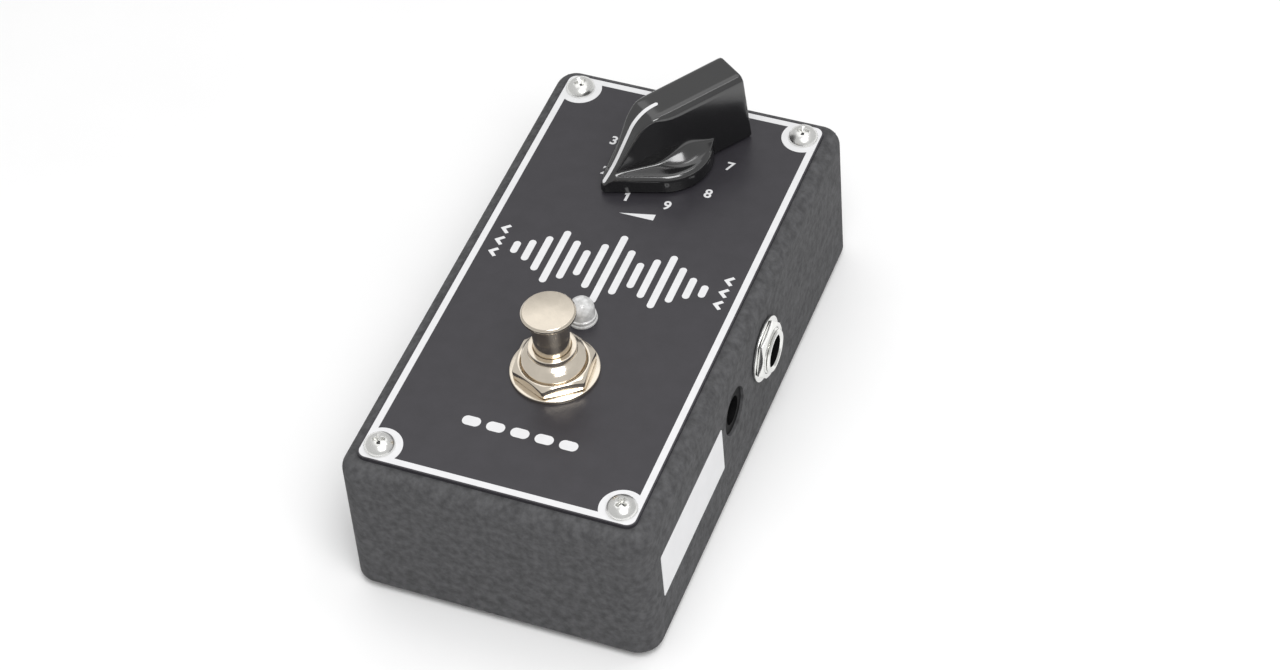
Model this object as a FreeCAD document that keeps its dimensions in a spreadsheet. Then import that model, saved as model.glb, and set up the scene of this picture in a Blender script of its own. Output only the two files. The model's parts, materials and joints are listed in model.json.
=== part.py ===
import FreeCAD, Part
import math
import os
import re
import Sketcher

# Effects pedal: a cast housing with one pointer knob, a stomp switch, an indicator and three sockets.
# The origin lies on the ground under the middle of the housing. X is right, Y is back and Z is up.
# All sizes are millimetres and degrees.

document = FreeCAD.newDocument("EffectsPedal")
sheet = document.addObject("Spreadsheet::Sheet", "Sizes")

# Driving sizes: name, value and what it is
driving_sizes = [
    ("box_width", 61.2, "housing, outer width at its lower edge"),
    ("box_length", 113.3, "housing, outer length at its lower edge"),
    ("box_height", 31.8, "housing, lower edge to flat top"),
    ("box_draft", 0.7, "lean of the cast walls, degrees"),
    ("box_wall", 2.2, "housing, side wall"),
    ("roof_wall", 2.4, "housing, top wall"),
    ("box_corner", 4.6, "radius of the upright corners"),
    ("box_top_radius", 3.0, "radius round the top edge"),
    ("screw_inset", 3.6, "corner screws, from the edges of the face plate"),
    ("pillar_radius", 4.0, "screw pillar, from screw axis to its inner faces"),
    ("pillar_corner_radius", 2.5, "screw pillar, radius of its inner edge"),
    ("pillar_bite", 0.3, "how far a pillar runs into the wall"),
    ("rim_width", 1.1, "wall left outside the bottom cover"),
    ("cover_thickness", 1.6, "bottom cover sheet"),
    ("seat_gap", 0.15, "gap round a piece that drops into a recess"),
    ("foot_height", 2.0, "rubber foot, thickness"),
    ("foot_radius", 6.0, "rubber foot, outer radius"),
    ("foot_hole", 3.5, "rubber foot, radius of the hole round the screw head"),
    ("foot_bevel", 0.5, "rubber foot, bevel of the lower outer edge"),
    ("screw_radius", 1.5, "corner screws, thread radius"),
    ("screw_head", 2.95, "corner screws, head radius"),
    ("pan_height", 2.0, "face screws, height of the pan head"),
    ("pan_edge_radius", 1.3, "face screws, rounding of the head"),
    ("screw_depth", 8.0, "corner screws, thread length in the pillar"),
    ("thread_gap", 0.03, "radial gap between a screw or shaft and its hole"),
    ("washer_lift", 0.02, "gap under a flat washer on the leaning wall"),
    ("body_lift", 0.05, "gap between a socket body and the leaning wall inside"),
    ("recess_length", 3.0, "cross recess, tip to tip"),
    ("recess_width", 0.65, "cross recess, width of a slot"),
    ("recess_depth", 1.1, "cross recess, depth"),
    ("plate_side_margin", 3.3, "face plate, its side edges inside the housing's outline"),
    ("plate_end_margin", 3.4, "face plate, its end edges inside the housing's outline"),
    ("plate_thickness", 0.8, "face plate, sheet"),
    ("plate_corner", 2.0, "face plate, corner radius"),
    ("hole_gap", 0.1, "radial gap round a bushing in a sheet or wall"),
    ("dial_back", 21.15, "dial centre, from the back end of the housing"),
    ("pointer_turn", 35.0, "pointer at rest, clockwise from the front, degrees"),
    ("knob_lift", 0.5, "gap between knob and face plate"),
    ("knob_height", 15.5, "knob, underside to flat top"),
    ("skirt_radius", 9.6, "knob, round part of the skirt"),
    ("skirt_height", 3.9, "knob, height of the skirt wall"),
    ("skirt_edge_radius", 0.75, "knob, rounding of the skirt rim"),
    ("nose_reach", 14.9, "knob, axis to the nose of the pointer"),
    ("nose_half", 0.5, "knob, half width of the nose"),
    ("flare_back", 2.0, "knob, axis of the hollow bell behind the dial axis"),
    ("flare_radius", 7.9, "knob, where the hollow bell leaves the skirt"),
    ("flare_height", 3.4, "knob, height of the hollow bell"),
    ("flare_bend", 6.0, "knob, hollow curve of the bell"),
    ("cut_margin", 3.0, "how far a cutting outline runs past the piece it cuts"),
    ("neck_radius", 4.3, "knob, radius at the top of the bell, inside the grip bar"),
    ("bar_half", 5.0, "grip bar, half width at the underside"),
    ("bar_back", 17.4, "grip bar, axis to its back end at the underside"),
    ("bar_draft", 3.3, "grip bar, lean of its walls, degrees"),
    ("bar_nose_start", 2.0, "grip bar, where its sides turn in towards the nose"),
    ("bar_bevel_width", 1.0, "grip bar, flat along its top edges"),
    ("small_edge_radius", 0.4, "small edges, rounding or bevel"),
    ("brow_start", 1.6, "knob, where the flat top ends before the slope"),
    ("brow_radius", 7.0, "knob, outward curve at the top of the slope"),
    ("brow_angle", 58.5, "knob, steepest slope, degrees"),
    ("toe_height", 7.4, "knob, where the slope starts to flatten"),
    ("toe_radius", 28.0, "knob, inward curve at the foot of the slope"),
    ("knob_cavity", 6.5, "knob, radius of the hollow over the nut"),
    ("insert_radius", 4.0, "brass insert, outer radius"),
    ("insert_length", 3.0, "brass insert, length"),
    ("grub_radius", 1.25, "set screw, radius"),
    ("grub_length", 1.8, "set screw, length"),
    ("shaft_radius", 3.0, "dial shaft, radius"),
    ("shaft_top", 8.5, "dial shaft, top end above the face plate"),
    ("pot_radius", 8.2, "dial control, can radius"),
    ("pot_height", 8.5, "dial control, can height"),
    ("pot_wall", 0.6, "dial control, can wall"),
    ("pot_thread", 3.5, "dial control, bushing radius"),
    ("pot_thread_top", 3.0, "dial control, bushing end above the face plate"),
    ("pot_nut_flats", 10.0, "dial control nut, across flats"),
    ("pot_nut_height", 2.0, "dial control nut, height"),
    ("pot_washer_radius", 5.6, "dial control washers, radius"),
    ("washer_thickness", 0.5, "thin washers"),
    ("nut_bevel", 0.25, "hexagon nuts, how far their bevel reaches inside the flats"),
    ("track_thickness", 1.2, "resistance track wafer"),
    ("wiper_radius", 6.0, "wiper disc, radius"),
    ("wiper_thickness", 1.3, "wiper disc, thickness"),
    ("leg_inset", 1.0, "dial control legs, from the rim of the can"),
    ("inner_gap", 0.5, "gap between a moving inner piece and its housing"),
    ("rest_gap", 0.3, "gap between a moving piece and the stop or seat it rests near"),
    ("switch_front", 33.85, "stomp switch axis, from the front end of the housing"),
    ("switch_side", 17.0, "stomp switch case, side"),
    ("switch_case_height", 13.5, "stomp switch case, height"),
    ("switch_case_drop", 3.8, "stomp switch case top below the roof"),
    ("switch_thread", 6.0, "stomp switch bushing, radius"),
    ("switch_shoulder", 4.8, "stomp switch bushing, end of the thread above the face plate"),
    ("switch_cone_top", 6.3, "stomp switch bushing, end of the cone above the face plate"),
    ("switch_cone_radius", 5.1, "stomp switch bushing, small radius of the cone"),
    ("switch_collar", 4.6, "stomp switch bushing, collar radius"),
    ("switch_collar_top", 7.1, "stomp switch bushing, collar end above the face plate"),
    ("switch_washer_radius", 8.5, "stomp switch washer, outer radius"),
    ("switch_washer_thickness", 0.8, "stomp switch washer, thickness"),
    ("switch_nut_flats", 14.0, "stomp switch nuts, across flats"),
    ("switch_nut_height", 2.5, "stomp switch outer nut, height"),
    ("switch_inner_nut_height", 2.0, "stomp switch inner nut, height"),
    ("switch_nut_turn", 36.0, "stomp switch nut, direction of one corner, degrees"),
    ("stem_radius", 3.5, "plunger, stem radius"),
    ("stem_gap", 0.06, "plunger, radial gap in the bushing"),
    ("stem_straight_top", 10.2, "plunger, end of the straight stem above the face plate"),
    ("stem_head_radius", 4.4, "plunger, neck radius under the button"),
    ("button_radius", 5.15, "plunger, button radius"),
    ("button_thickness", 1.2, "plunger, button thickness"),
    ("button_top", 16.4, "plunger, button top above the face plate"),
    ("button_bevel_width", 0.35, "plunger, bevel round the button"),
    ("plunger_travel", 2.5, "plunger, travel"),
    ("flange_radius", 4.9, "plunger, stop flange radius"),
    ("flange_thickness", 1.2, "plunger, stop flange thickness"),
    ("tail_radius", 2.0, "plunger, tail radius inside the spring"),
    ("tail_length", 4.2, "plunger, tail length below the flange"),
    ("well_radius", 5.4, "stomp switch case, radius of the spring well"),
    ("well_spare", 0.8, "stomp switch case, gap left under the plunger when it is pressed"),
    ("spring_radius", 3.6, "return spring, middle radius of the turns"),
    ("spring_wire", 0.35, "return spring, wire radius"),
    ("lug_width", 1.6, "stomp switch lugs, width"),
    ("lug_thickness", 0.6, "stomp switch lugs, thickness"),
    ("lug_length", 4.0, "stomp switch lugs, length below the case"),
    ("lug_pitch", 5.0, "stomp switch lugs, spacing"),
    ("switch_board_drop", 1.4, "small board, gap below the stomp switch case"),
    ("switch_board_thickness", 1.2, "small board, thickness"),
    ("switch_board_side", 17.6, "small board, side"),
    ("switch_flange_half", 7.5, "stomp switch bushing, radius of its base"),
    ("switch_flange_thickness", 1.0, "stomp switch bushing, thickness of its base"),
    ("ribbon_width", 10.0, "ribbon between the boards, width"),
    ("ribbon_thickness", 0.8, "ribbon between the boards, thickness"),
    ("ribbon_drop", 4.0, "ribbon between the boards, sag below the small board"),
    ("ribbon_inset", 2.4, "ribbon between the boards, from each board's edge"),
    ("lamp_behind", 13.8, "indicator, behind the stomp switch"),
    ("lens_radius", 2.5, "indicator lens, radius"),
    ("lens_flange", 2.9, "indicator lens, flange radius"),
    ("lens_flange_thickness", 0.6, "indicator lens, flange thickness"),
    ("lens_top", 5.2, "indicator lens, top above the face plate"),
    ("lamp_radius", 1.5, "light source, radius"),
    ("lamp_height", 4.0, "light source, height"),
    ("lamp_leg_pitch", 1.27, "light source, half spacing of its legs"),
    ("leg_side", 0.5, "component legs, side"),
    ("jack_before", 29.5, "phone sockets, in front of the dial"),
    ("jack_drop", 13.1, "phone sockets, below the flat top of the housing"),
    ("jack_reach", 2.45, "phone sockets, bushing end outside the wall"),
    ("jack_thread", 4.5, "phone sockets, bushing radius"),
    ("jack_bore", 3.2, "phone sockets, bore radius"),
    ("jack_washer_radius", 6.6, "phone sockets, washer radius"),
    ("jack_nut_flats", 11.0, "phone sockets, nut across flats"),
    ("jack_nut_height", 1.25, "phone sockets, nut height"),
    ("jack_nut_turn", 40.0, "phone sockets, direction of one nut corner, degrees"),
    ("jack_clear", 6.5, "phone sockets, inner end of the body, from the middle of the housing"),
    ("jack_body_bore", 3.6, "phone sockets, radius of the hollow behind the bushing"),
    ("jack_body_half", 6.6, "phone sockets, half height of the body"),
    ("jack_body_width", 15.6, "phone sockets, body width"),
    ("jack_body_radius", 1.0, "phone sockets, rounding of the long edges"),
    ("jack_flange", 6.0, "phone sockets, radius of the bushing flange"),
    ("jack_flange_thickness", 1.5, "phone sockets, thickness of the bushing flange"),
    ("jack_bevel", 0.4, "phone sockets, bevel round the end of the bushing"),
    ("contact_inset", 0.6, "phone sockets, spring contact below the top of the body"),
    ("contact_rise", 1.2, "phone sockets, length of the contact's hook"),
    ("contact_thickness", 0.5, "phone sockets, spring contact sheet"),
    ("contact_width", 5.0, "phone sockets, spring contact width"),
    ("contact_reach", 4.4, "phone sockets, spring contact beyond the body"),
    ("contact_hook", 3.9, "phone sockets, spring contact clear of the plug axis"),
    ("power_before", 16.5, "power socket, in front of the phone sockets"),
    ("power_drop", 13.3, "power socket, below the flat top of the housing"),
    ("power_hole", 4.9, "power socket, hole in the wall, radius"),
    ("power_recess", 0.5, "power socket, face behind the outer wall face"),
    ("power_bore", 2.9, "power socket, bore radius"),
    ("power_bore_depth", 10.0, "power socket, bore depth"),
    ("power_pin", 1.05, "power socket, centre pin radius"),
    ("power_pin_root", 1.4, "power socket, centre pin radius where it is held in the body"),
    ("power_pin_length", 9.0, "power socket, centre pin length in the bore"),
    ("power_body_width", 9.4, "power socket, body width"),
    ("power_body_top", 5.2, "power socket, body top above its axis"),
    ("power_body_length", 13.0, "power socket, body length inside the wall"),
    ("power_bevel", 0.4, "power socket, bevel of the centre pin"),
    ("power_tab_top", 2.1, "power socket, tab top above its axis"),
    ("board_thickness", 1.6, "main board, thickness"),
    ("board_side_gap", 1.2, "main board, gap to the side walls at their lower edge"),
    ("board_behind_switch", 9.1, "main board, front edge behind the stomp switch axis"),
    ("board_behind_dial", 9.5, "main board, back edge behind the dial centre"),
    ("board_corner", 2.0, "main board, corner radius"),
    ("row_before_dial", 15.5, "components, front row in front of the dial centre"),
    ("row_near_dial", 4.5, "components, back row in front of the dial centre"),
    ("row_behind_dial", 4.0, "components, rearmost row behind the dial centre"),
    ("column_inset", 12.2, "components, inner column, from the side edge of the board"),
    ("column_edge", 5.2, "components, outer column, from the side edge of the board"),
    ("pair_pitch", 3.8, "components, spacing of a pair that lies side by side"),
    ("can_radius", 2.5, "round capacitors, radius"),
    ("can_height", 6.5, "round capacitors, height"),
    ("film_length", 7.2, "film capacitors, length"),
    ("film_width", 2.8, "film capacitors, width"),
    ("film_height", 6.2, "film capacitors, height"),
    ("resistor_radius", 1.1, "resistors, radius"),
    ("resistor_length", 6.0, "resistors, length"),
    ("amplifier_radius", 2.4, "amplifier element, radius of its round back"),
    ("amplifier_flat", 1.3, "amplifier element, axis to its flat face"),
    ("amplifier_x", 4.0, "amplifier element, sideways from the middle"),
    ("amplifier_height", 4.8, "amplifier element, height"),
]
for row, (name, number, note) in enumerate(driving_sizes, start=1):
    sheet.set(f"A{row}", name)
    sheet.set(f"B{row}", str(number))
    sheet.set(f"C{row}", note)
    sheet.setAlias(f"B{row}", name)

# Levels and places worked out from the driving sizes
worked_out = [
    ("plate_level", "foot_height + box_height", "flat top of the housing"),
    ("plate_width", "box_width - 2 * plate_side_margin", "face plate, width"),
    ("plate_length", "box_length - 2 * plate_end_margin", "face plate, length"),
    ("screw_x", "plate_width / 2 - screw_inset", "corner screws, sideways from the middle"),
    ("screw_y", "plate_length / 2 - screw_inset", "corner screws, lengthways from the middle"),
    ("dial_y", "box_length / 2 - dial_back", "dial centre, from the middle of the housing"),
    ("switch_y", "switch_front - box_length / 2", "stomp switch axis, from the middle of the housing"),
    ("lamp_y", "switch_y + lamp_behind", "indicator, from the middle of the housing"),
    ("jack_y", "dial_y - jack_before", "phone sockets, from the middle of the housing"),
    ("power_y", "jack_y - power_before", "power socket, from the middle of the housing"),
    ("face_level", "plate_level + plate_thickness", "upper side of the face plate"),
    ("roof_level", "plate_level - roof_wall", "underside of the roof"),
    ("cover_level", "foot_height + cover_thickness", "upper side of the bottom cover"),
    ("knob_level", "face_level + knob_lift", "underside of the knob"),
    ("pot_level", "roof_level - washer_thickness - pot_height", "underside of the dial control"),
    ("switch_level", "roof_level - switch_case_drop", "top of the stomp switch case"),
    ("switch_floor", "switch_level - switch_case_height", "underside of the stomp switch case"),
    ("jack_level", "plate_level - jack_drop", "axis of the phone sockets"),
    ("power_level", "plate_level - power_drop", "axis of the power socket"),
    ("board_level", "jack_level - jack_body_half", "upper side of the main board"),
    ("board_half", "box_width / 2 - box_wall - board_side_gap", "main board, half width"),
    ("board_front", "switch_y + board_behind_switch", "main board, front edge"),
    ("board_back", "dial_y + board_behind_dial", "main board, back edge"),
    ("row_front", "dial_y - row_before_dial", "components, front row"),
    ("row_back", "dial_y - row_near_dial", "components, back row"),
    ("row_rear", "dial_y + row_behind_dial", "components, rearmost row"),
    ("column_inner", "board_half - column_inset", "components, inner column, sideways"),
    ("column_outer", "board_half - column_edge", "components, outer column, sideways"),
    ("jack_low", "jack_level - foot_height - jack_washer_radius", "lowest point of the socket washers"),
    ("jack_high", "jack_level - foot_height + jack_body_half", "highest point of the socket bodies"),
    ("side_seat", "box_width / 2 - jack_low * tan(box_draft) + washer_lift",
     "plane that the socket washers rest on"),
    ("inner_seat", "box_width / 2 - box_wall - jack_high * tan(box_draft) - body_lift",
     "plane that the socket bodies rest on"),
    ("jack_face", "side_seat + jack_reach", "outer end of the phone sockets"),
    ("power_face", "box_width / 2 - (power_level - foot_height) * tan(box_draft) - power_recess",
     "outer face of the power socket"),
    ("insert_level", "pot_thread_top - knob_lift + rest_gap",
     "underside of the brass insert above the underside of the knob"),
    ("well_depth", "rest_gap + flange_thickness + tail_length + plunger_travel + well_spare",
     "depth of the spring well in the stomp switch case"),
]
for row, (name, rule, note) in enumerate(worked_out, start=len(driving_sizes) + 2):
    sheet.set(f"A{row}", name)
    sheet.set(f"B{row}", "=" + rule)
    sheet.set(f"C{row}", note)
    sheet.setAlias(f"B{row}", name)
document.recompute()

sheet_names = {entry[0] for entry in driving_sizes + worked_out}
outward_right = FreeCAD.Rotation(0, 90, 0)
outward_left = FreeCAD.Rotation(180, 90, 0)
finished = []


def formula(rule):
    """Write a rule so that its size names point at the sheet."""
    def point(match):
        return "Sizes." + match[0] if match[0] in sheet_names else match[0]
    return re.sub(r"[a-z_]+", point, rule)


def value(rule):
    """Give the number that a rule has with the sheet's sizes."""
    return float(sheet.evalExpression(rule))


def bind(item, path, rule):
    item.setExpression(path, formula(rule))


def place(item, position, turn=None):
    """Give an object its place, bound to the sheet, and its direction."""
    if turn is not None:
        item.Placement = FreeCAD.Placement(FreeCAD.Vector(), turn)
    for axis, rule in zip("xyz", position):
        bind(item, f"Placement.Base.{axis}", rule)


def keep(item, label):
    """Name an object as a sub-part that is written to its own file."""
    item.Label = label
    finished.append(item)
    return item


def edges_where(feature, test):
    """Name the edges of a feature whose middle point and two ends pass a test."""
    names = []
    for number, edge in enumerate(feature.Shape.Edges, start=1):
        middle = edge.valueAt((edge.FirstParameter + edge.LastParameter) / 2)
        ends = [vertex.Point for vertex in edge.Vertexes]
        if test(edge, middle, ends):
            names.append(f"Edge{number}")
    if not names:
        raise RuntimeError(f"no edge found on {feature.Label}")
    return names


# Bodies and their sketches

def new_body(name, position=("0", "0", "0"), turn=None):
    body = document.addObject("PartDesign::Body", name)
    place(body, position, turn)
    return body


def new_sketch(body, name, role="XY_Plane", lift="0"):
    """Put a sketch on one of the body's own planes, lifted off it by a rule."""
    sketch = body.newObject("Sketcher::SketchObject", f"{body.Name}_{name}")
    plane = [item for item in body.Origin.OriginFeatures if item.Role == role][0]
    sketch.AttachmentSupport = [(plane, "")]
    sketch.MapMode = "FlatFace"
    bind(sketch, "AttachmentOffset.Base.z", lift)
    return sketch


def constrain(sketch, kind, *items, rule=None):
    """Add a constraint; a rule ties its number to the sheet, in degrees for an angle."""
    if rule is None:
        return sketch.addConstraint(Sketcher.Constraint(kind, *items))
    number = math.radians(value(rule)) if kind == "Angle" else value(rule)
    index = sketch.addConstraint(Sketcher.Constraint(kind, *items, number))
    bind(sketch, f"Constraints[{index}]", rule)
    return index


def hold_point(sketch, item, end, across, along):
    """Tie a point of a sketch to its distances from the sketch's origin."""
    constrain(sketch, "DistanceX", -1, 1, item, end, rule=across)
    constrain(sketch, "DistanceY", -1, 1, item, end, rule=along)


def straight_outline(sketch, corners):
    """Draw a closed outline of straight lines through corners given as rules."""
    points = [FreeCAD.Vector(value(across), value(along), 0) for across, along in corners]
    first = sketch.GeometryCount
    count = len(points)
    for index in range(count):
        sketch.addGeometry(Part.LineSegment(points[index], points[(index + 1) % count]))
    for index in range(count):
        constrain(sketch, "Coincident", first + index, 2, first + (index + 1) % count, 1)
    for index, (across, along) in enumerate(corners):
        hold_point(sketch, first + index, 1, across, along)


def rectangle(sketch, left, right, low, high):
    straight_outline(sketch, [(left, low), (right, low), (right, high), (left, high)])


def circle(sketch, across, along, radius):
    centre = FreeCAD.Vector(value(across), value(along), 0)
    ring = sketch.addGeometry(Part.Circle(centre, FreeCAD.Vector(0, 0, 1), value(radius)))
    constrain(sketch, "Radius", ring, rule=radius)
    hold_point(sketch, ring, 3, across, along)


def rounded_rectangle(sketch, width, length, radius, middle="0"):
    """Draw a rectangle with round corners, centred sideways, its middle at a distance along."""
    half_width = value(width) / 2
    low = value(middle) - value(length) / 2
    high = value(middle) + value(length) / 2
    round_off = value(radius)
    signs = [(1, low, 1), (1, high, -1), (-1, high, -1), (-1, low, 1)]
    centres = [FreeCAD.Vector(side * (half_width - round_off), along + inward * round_off, 0)
               for side, along, inward in signs]
    starts = [-90, 0, 90, 180]
    for centre, start in zip(centres, starts):
        ring = Part.Circle(centre, FreeCAD.Vector(0, 0, 1), round_off)
        sketch.addGeometry(Part.ArcOfCircle(ring, math.radians(start), math.radians(start + 90)))
    arcs = [sketch.Geometry[index] for index in range(4)]
    for index in range(4):
        begin = arcs[index].EndPoint
        finish = arcs[(index + 1) % 4].StartPoint
        sketch.addGeometry(Part.LineSegment(begin, finish))
    for index in range(4):
        constrain(sketch, "Tangent", index, 2, 4 + index, 1)
        constrain(sketch, "Tangent", 4 + index, 2, (index + 1) % 4, 1)
    for upright in (4, 6):
        constrain(sketch, "Vertical", upright)
    for level in (5, 7):
        constrain(sketch, "Horizontal", level)
    constrain(sketch, "DistanceX", -1, 1, 4, 1, rule=f"({width}) / 2")
    constrain(sketch, "DistanceX", -1, 1, 6, 1, rule=f"-({width}) / 2")
    constrain(sketch, "DistanceY", -1, 1, 5, 1, rule=f"({middle}) + ({length}) / 2")
    constrain(sketch, "DistanceY", -1, 1, 7, 1, rule=f"({middle}) - ({length}) / 2")
    constrain(sketch, "Radius", 0, rule=radius)
    for index in (1, 2, 3):
        constrain(sketch, "Equal", 0, index)


def add_pad(body, sketch, length, taper=None, both_ways=False):
    pad = body.newObject("PartDesign::Pad", f"{sketch.Name}_pad")
    pad.Profile = sketch
    bind(pad, "Length", length)
    pad.Midplane = both_ways
    if taper is not None:
        bind(pad, "TaperAngle", taper)
    document.recompute()
    return pad


def add_pocket(body, sketch, length=None, upward=False, both_ways=False, taper=None):
    """Cut a sketch out of a body; without a length the cut goes right through."""
    before = body.Shape.Volume
    pocket = body.newObject("PartDesign::Pocket", f"{sketch.Name}_pocket")
    pocket.Profile = sketch
    pocket.Reversed = upward
    pocket.Midplane = both_ways
    if length is None:
        pocket.Type = "ThroughAll"
    else:
        bind(pocket, "Length", length)
    if taper is not None:
        bind(pocket, "TaperAngle", taper)
    document.recompute()
    if not pocket.Shape.Volume < before:
        raise RuntimeError(f"{pocket.Name} cuts nothing")
    return pocket


def add_round(body, feature, test, radius, kind="Fillet"):
    """Round or bevel the edges of a feature that pass a test."""
    rounding = body.newObject(f"PartDesign::{kind}", f"{feature.Name}_{kind.lower()}")
    rounding.Base = (feature, edges_where(feature, test))
    bind(rounding, "Radius" if kind == "Fillet" else "Size", radius)
    document.recompute()
    return rounding


def turned(name, profile, position=("0", "0", "0"), turn=None):
    """Turn a closed profile of radius and height rules about the upright axis."""
    body = new_body(name, position, turn)
    sketch = new_sketch(body, "profile", "XZ_Plane")
    straight_outline(sketch, profile)
    revolution = body.newObject("PartDesign::Revolution", f"{name}_turn")
    revolution.Profile = sketch
    revolution.ReferenceAxis = (sketch, ["V_Axis"])
    revolution.Angle = 360
    document.recompute()
    return body


def ring_profile(inner, outer, low, high):
    return [(inner, low), (outer, low), (outer, high), (inner, high)]


def washer(name, inner, outer, thickness, position, turn=None):
    return keep(turned(name, ring_profile(inner, outer, "0", thickness), position, turn), name)


# Primitives and booleans

def block(name, left, right, front, back, low, high):
    box = document.addObject("Part::Box", name)
    bind(box, "Length", f"({right}) - ({left})")
    bind(box, "Width", f"({back}) - ({front})")
    bind(box, "Height", f"({high}) - ({low})")
    place(box, (left, front, low))
    return box


def rod(name, radius, height, position, turn=None):
    cylinder = document.addObject("Part::Cylinder", name)
    bind(cylinder, "Radius", radius)
    bind(cylinder, "Height", height)
    place(cylinder, position, turn)
    return cylinder


def cut(name, base, *tools):
    result = base
    for number, tool in enumerate(tools):
        step = document.addObject("Part::Cut", f"{name}_cut_{number}")
        step.Base = result
        step.Tool = tool
        result = step
    return result


def together(name, solids):
    """Keep separate like solids as one sub-part."""
    group = document.addObject("Part::Compound", name)
    group.Links = solids
    return keep(group, name)


def hex_nut(name, flats, height, bore, position, corner="0", turn=None):
    """A hexagon nut with its upper corners bevelled; the corner rule turns it on its axis."""
    body = new_body(name, position, turn)
    sketch = new_sketch(body, "hexagon")
    corner_reach = f"(({flats}) / 2 / cos(30))"
    corners = []
    for step in range(6):
        bearing = f"({corner}) + {60 * step}"
        corners.append((f"{corner_reach} * cos({bearing})", f"{corner_reach} * sin({bearing})"))
    straight_outline(sketch, corners)
    circle(sketch, "0", "0", bore)
    add_pad(body, sketch, height)
    bevel = new_sketch(body, "bevel", "XZ_Plane")
    flat_edge = f"(({flats}) / 2 - nut_bevel)"
    beyond = f"({corner_reach} + cut_margin)"
    straight_outline(bevel, [(flat_edge, height), (beyond, height),
                             (beyond, f"({height}) - ({beyond} - {flat_edge}) * tan(30)")])
    groove = body.newObject("PartDesign::Groove", f"{name}_groove")
    groove.Profile = bevel
    groove.ReferenceAxis = (bevel, ["V_Axis"])
    groove.Angle = 360
    document.recompute()
    return keep(body, name)


# Housing and covers

def make_enclosure():
    body = new_body("enclosure")
    outer = new_sketch(body, "outline", lift="foot_height")
    rounded_rectangle(outer, "box_width", "box_length", "box_corner")
    block_pad = add_pad(body, outer, "box_height", taper="-box_draft")
    top = value("plate_level")
    add_round(body, block_pad, lambda edge, middle, ends: all(abs(end.z - top) < 0.01 for end in ends),
              "box_top_radius")
    inside = new_sketch(body, "inside", lift="foot_height")
    rectangle(inside, "-box_width / 2 + box_wall", "box_width / 2 - box_wall",
              "-box_length / 2 + box_wall", "box_length / 2 - box_wall")
    add_pocket(body, inside, "box_height - roof_wall", upward=True, taper="-box_draft")
    pillars = new_sketch(body, "pillars", lift="cover_level")
    for side in (-1, 1):
        for end in (-1, 1):
            straight_outline(pillars, [
                (f"{side} * (screw_x - pillar_radius)", f"{end} * (screw_y - pillar_radius)"),
                (f"{side} * (box_width / 2 - box_wall + pillar_bite)", f"{end} * (screw_y - pillar_radius)"),
                (f"{side} * (box_width / 2 - box_wall + pillar_bite)",
                 f"{end} * (box_length / 2 - box_wall + pillar_bite)"),
                (f"{side} * (screw_x - pillar_radius)", f"{end} * (box_length / 2 - box_wall + pillar_bite)"),
            ])
    posts = add_pad(body, pillars, "box_height - cover_thickness - roof_wall / 2")
    cover_top = value("cover_level")
    inner_x = value("screw_x - pillar_radius")
    inner_y = value("screw_y - pillar_radius")
    add_round(body, posts, lambda edge, middle, ends: middle.z > cover_top + 1
              and abs(abs(middle.x) - inner_x) < 0.01 and abs(abs(middle.y) - inner_y) < 0.01,
              "pillar_corner_radius")
    recess = new_sketch(body, "cover_recess", lift="foot_height")
    rounded_rectangle(recess, "box_width - 2 * rim_width", "box_length - 2 * rim_width",
                      "box_corner - rim_width")
    add_pocket(body, recess, "cover_thickness", upward=True)
    roof_holes = new_sketch(body, "roof_holes", lift="plate_level")
    circle(roof_holes, "0", "dial_y", "pot_thread + hole_gap")
    circle(roof_holes, "0", "switch_y", "switch_thread + hole_gap")
    circle(roof_holes, "0", "lamp_y", "lens_radius + hole_gap")
    add_pocket(body, roof_holes, "roof_wall + box_wall")
    upper_holes = new_sketch(body, "upper_screw_holes", lift="plate_level")
    lower_holes = new_sketch(body, "lower_screw_holes", lift="cover_level")
    for side in (-1, 1):
        for end in (-1, 1):
            circle(upper_holes, f"{side} * screw_x", f"{end} * screw_y", "screw_radius + thread_gap")
            circle(lower_holes, f"{side} * screw_x", f"{end} * screw_y", "screw_radius + thread_gap")
    add_pocket(body, upper_holes, "screw_depth + 1")
    add_pocket(body, lower_holes, "screw_depth + 1", upward=True)
    jack_holes = new_sketch(body, "jack_holes", "YZ_Plane")
    circle(jack_holes, "jack_y", "jack_level", "jack_thread + hole_gap")
    add_pocket(body, jack_holes, both_ways=True)
    power_hole = new_sketch(body, "power_hole", "YZ_Plane")
    circle(power_hole, "power_y", "power_level", "power_hole")
    add_pocket(body, power_hole, "box_width", upward=True)
    return keep(body, "enclosure")


def make_bottom_cover():
    body = new_body("bottom_cover")
    outline = new_sketch(body, "outline", lift="foot_height")
    inset = "(rim_width + seat_gap)"
    rounded_rectangle(outline, f"box_width - 2 * {inset}", f"box_length - 2 * {inset}", f"box_corner - {inset}")
    for side in (-1, 1):
        for end in (-1, 1):
            circle(outline, f"{side} * screw_x", f"{end} * screw_y", "screw_radius + hole_gap")
    sheet_pad = add_pad(body, outline, "cover_thickness")
    floor = value("foot_height")
    hole = value("screw_radius + hole_gap")
    add_round(body, sheet_pad, lambda edge, middle, ends: len(ends) == 1 and abs(middle.z - floor) < 0.01
              and abs(edge.Length - 2 * math.pi * hole) < 0.01,
              "screw_head - screw_radius", kind="Chamfer")
    return keep(body, "bottom_cover")


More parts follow.
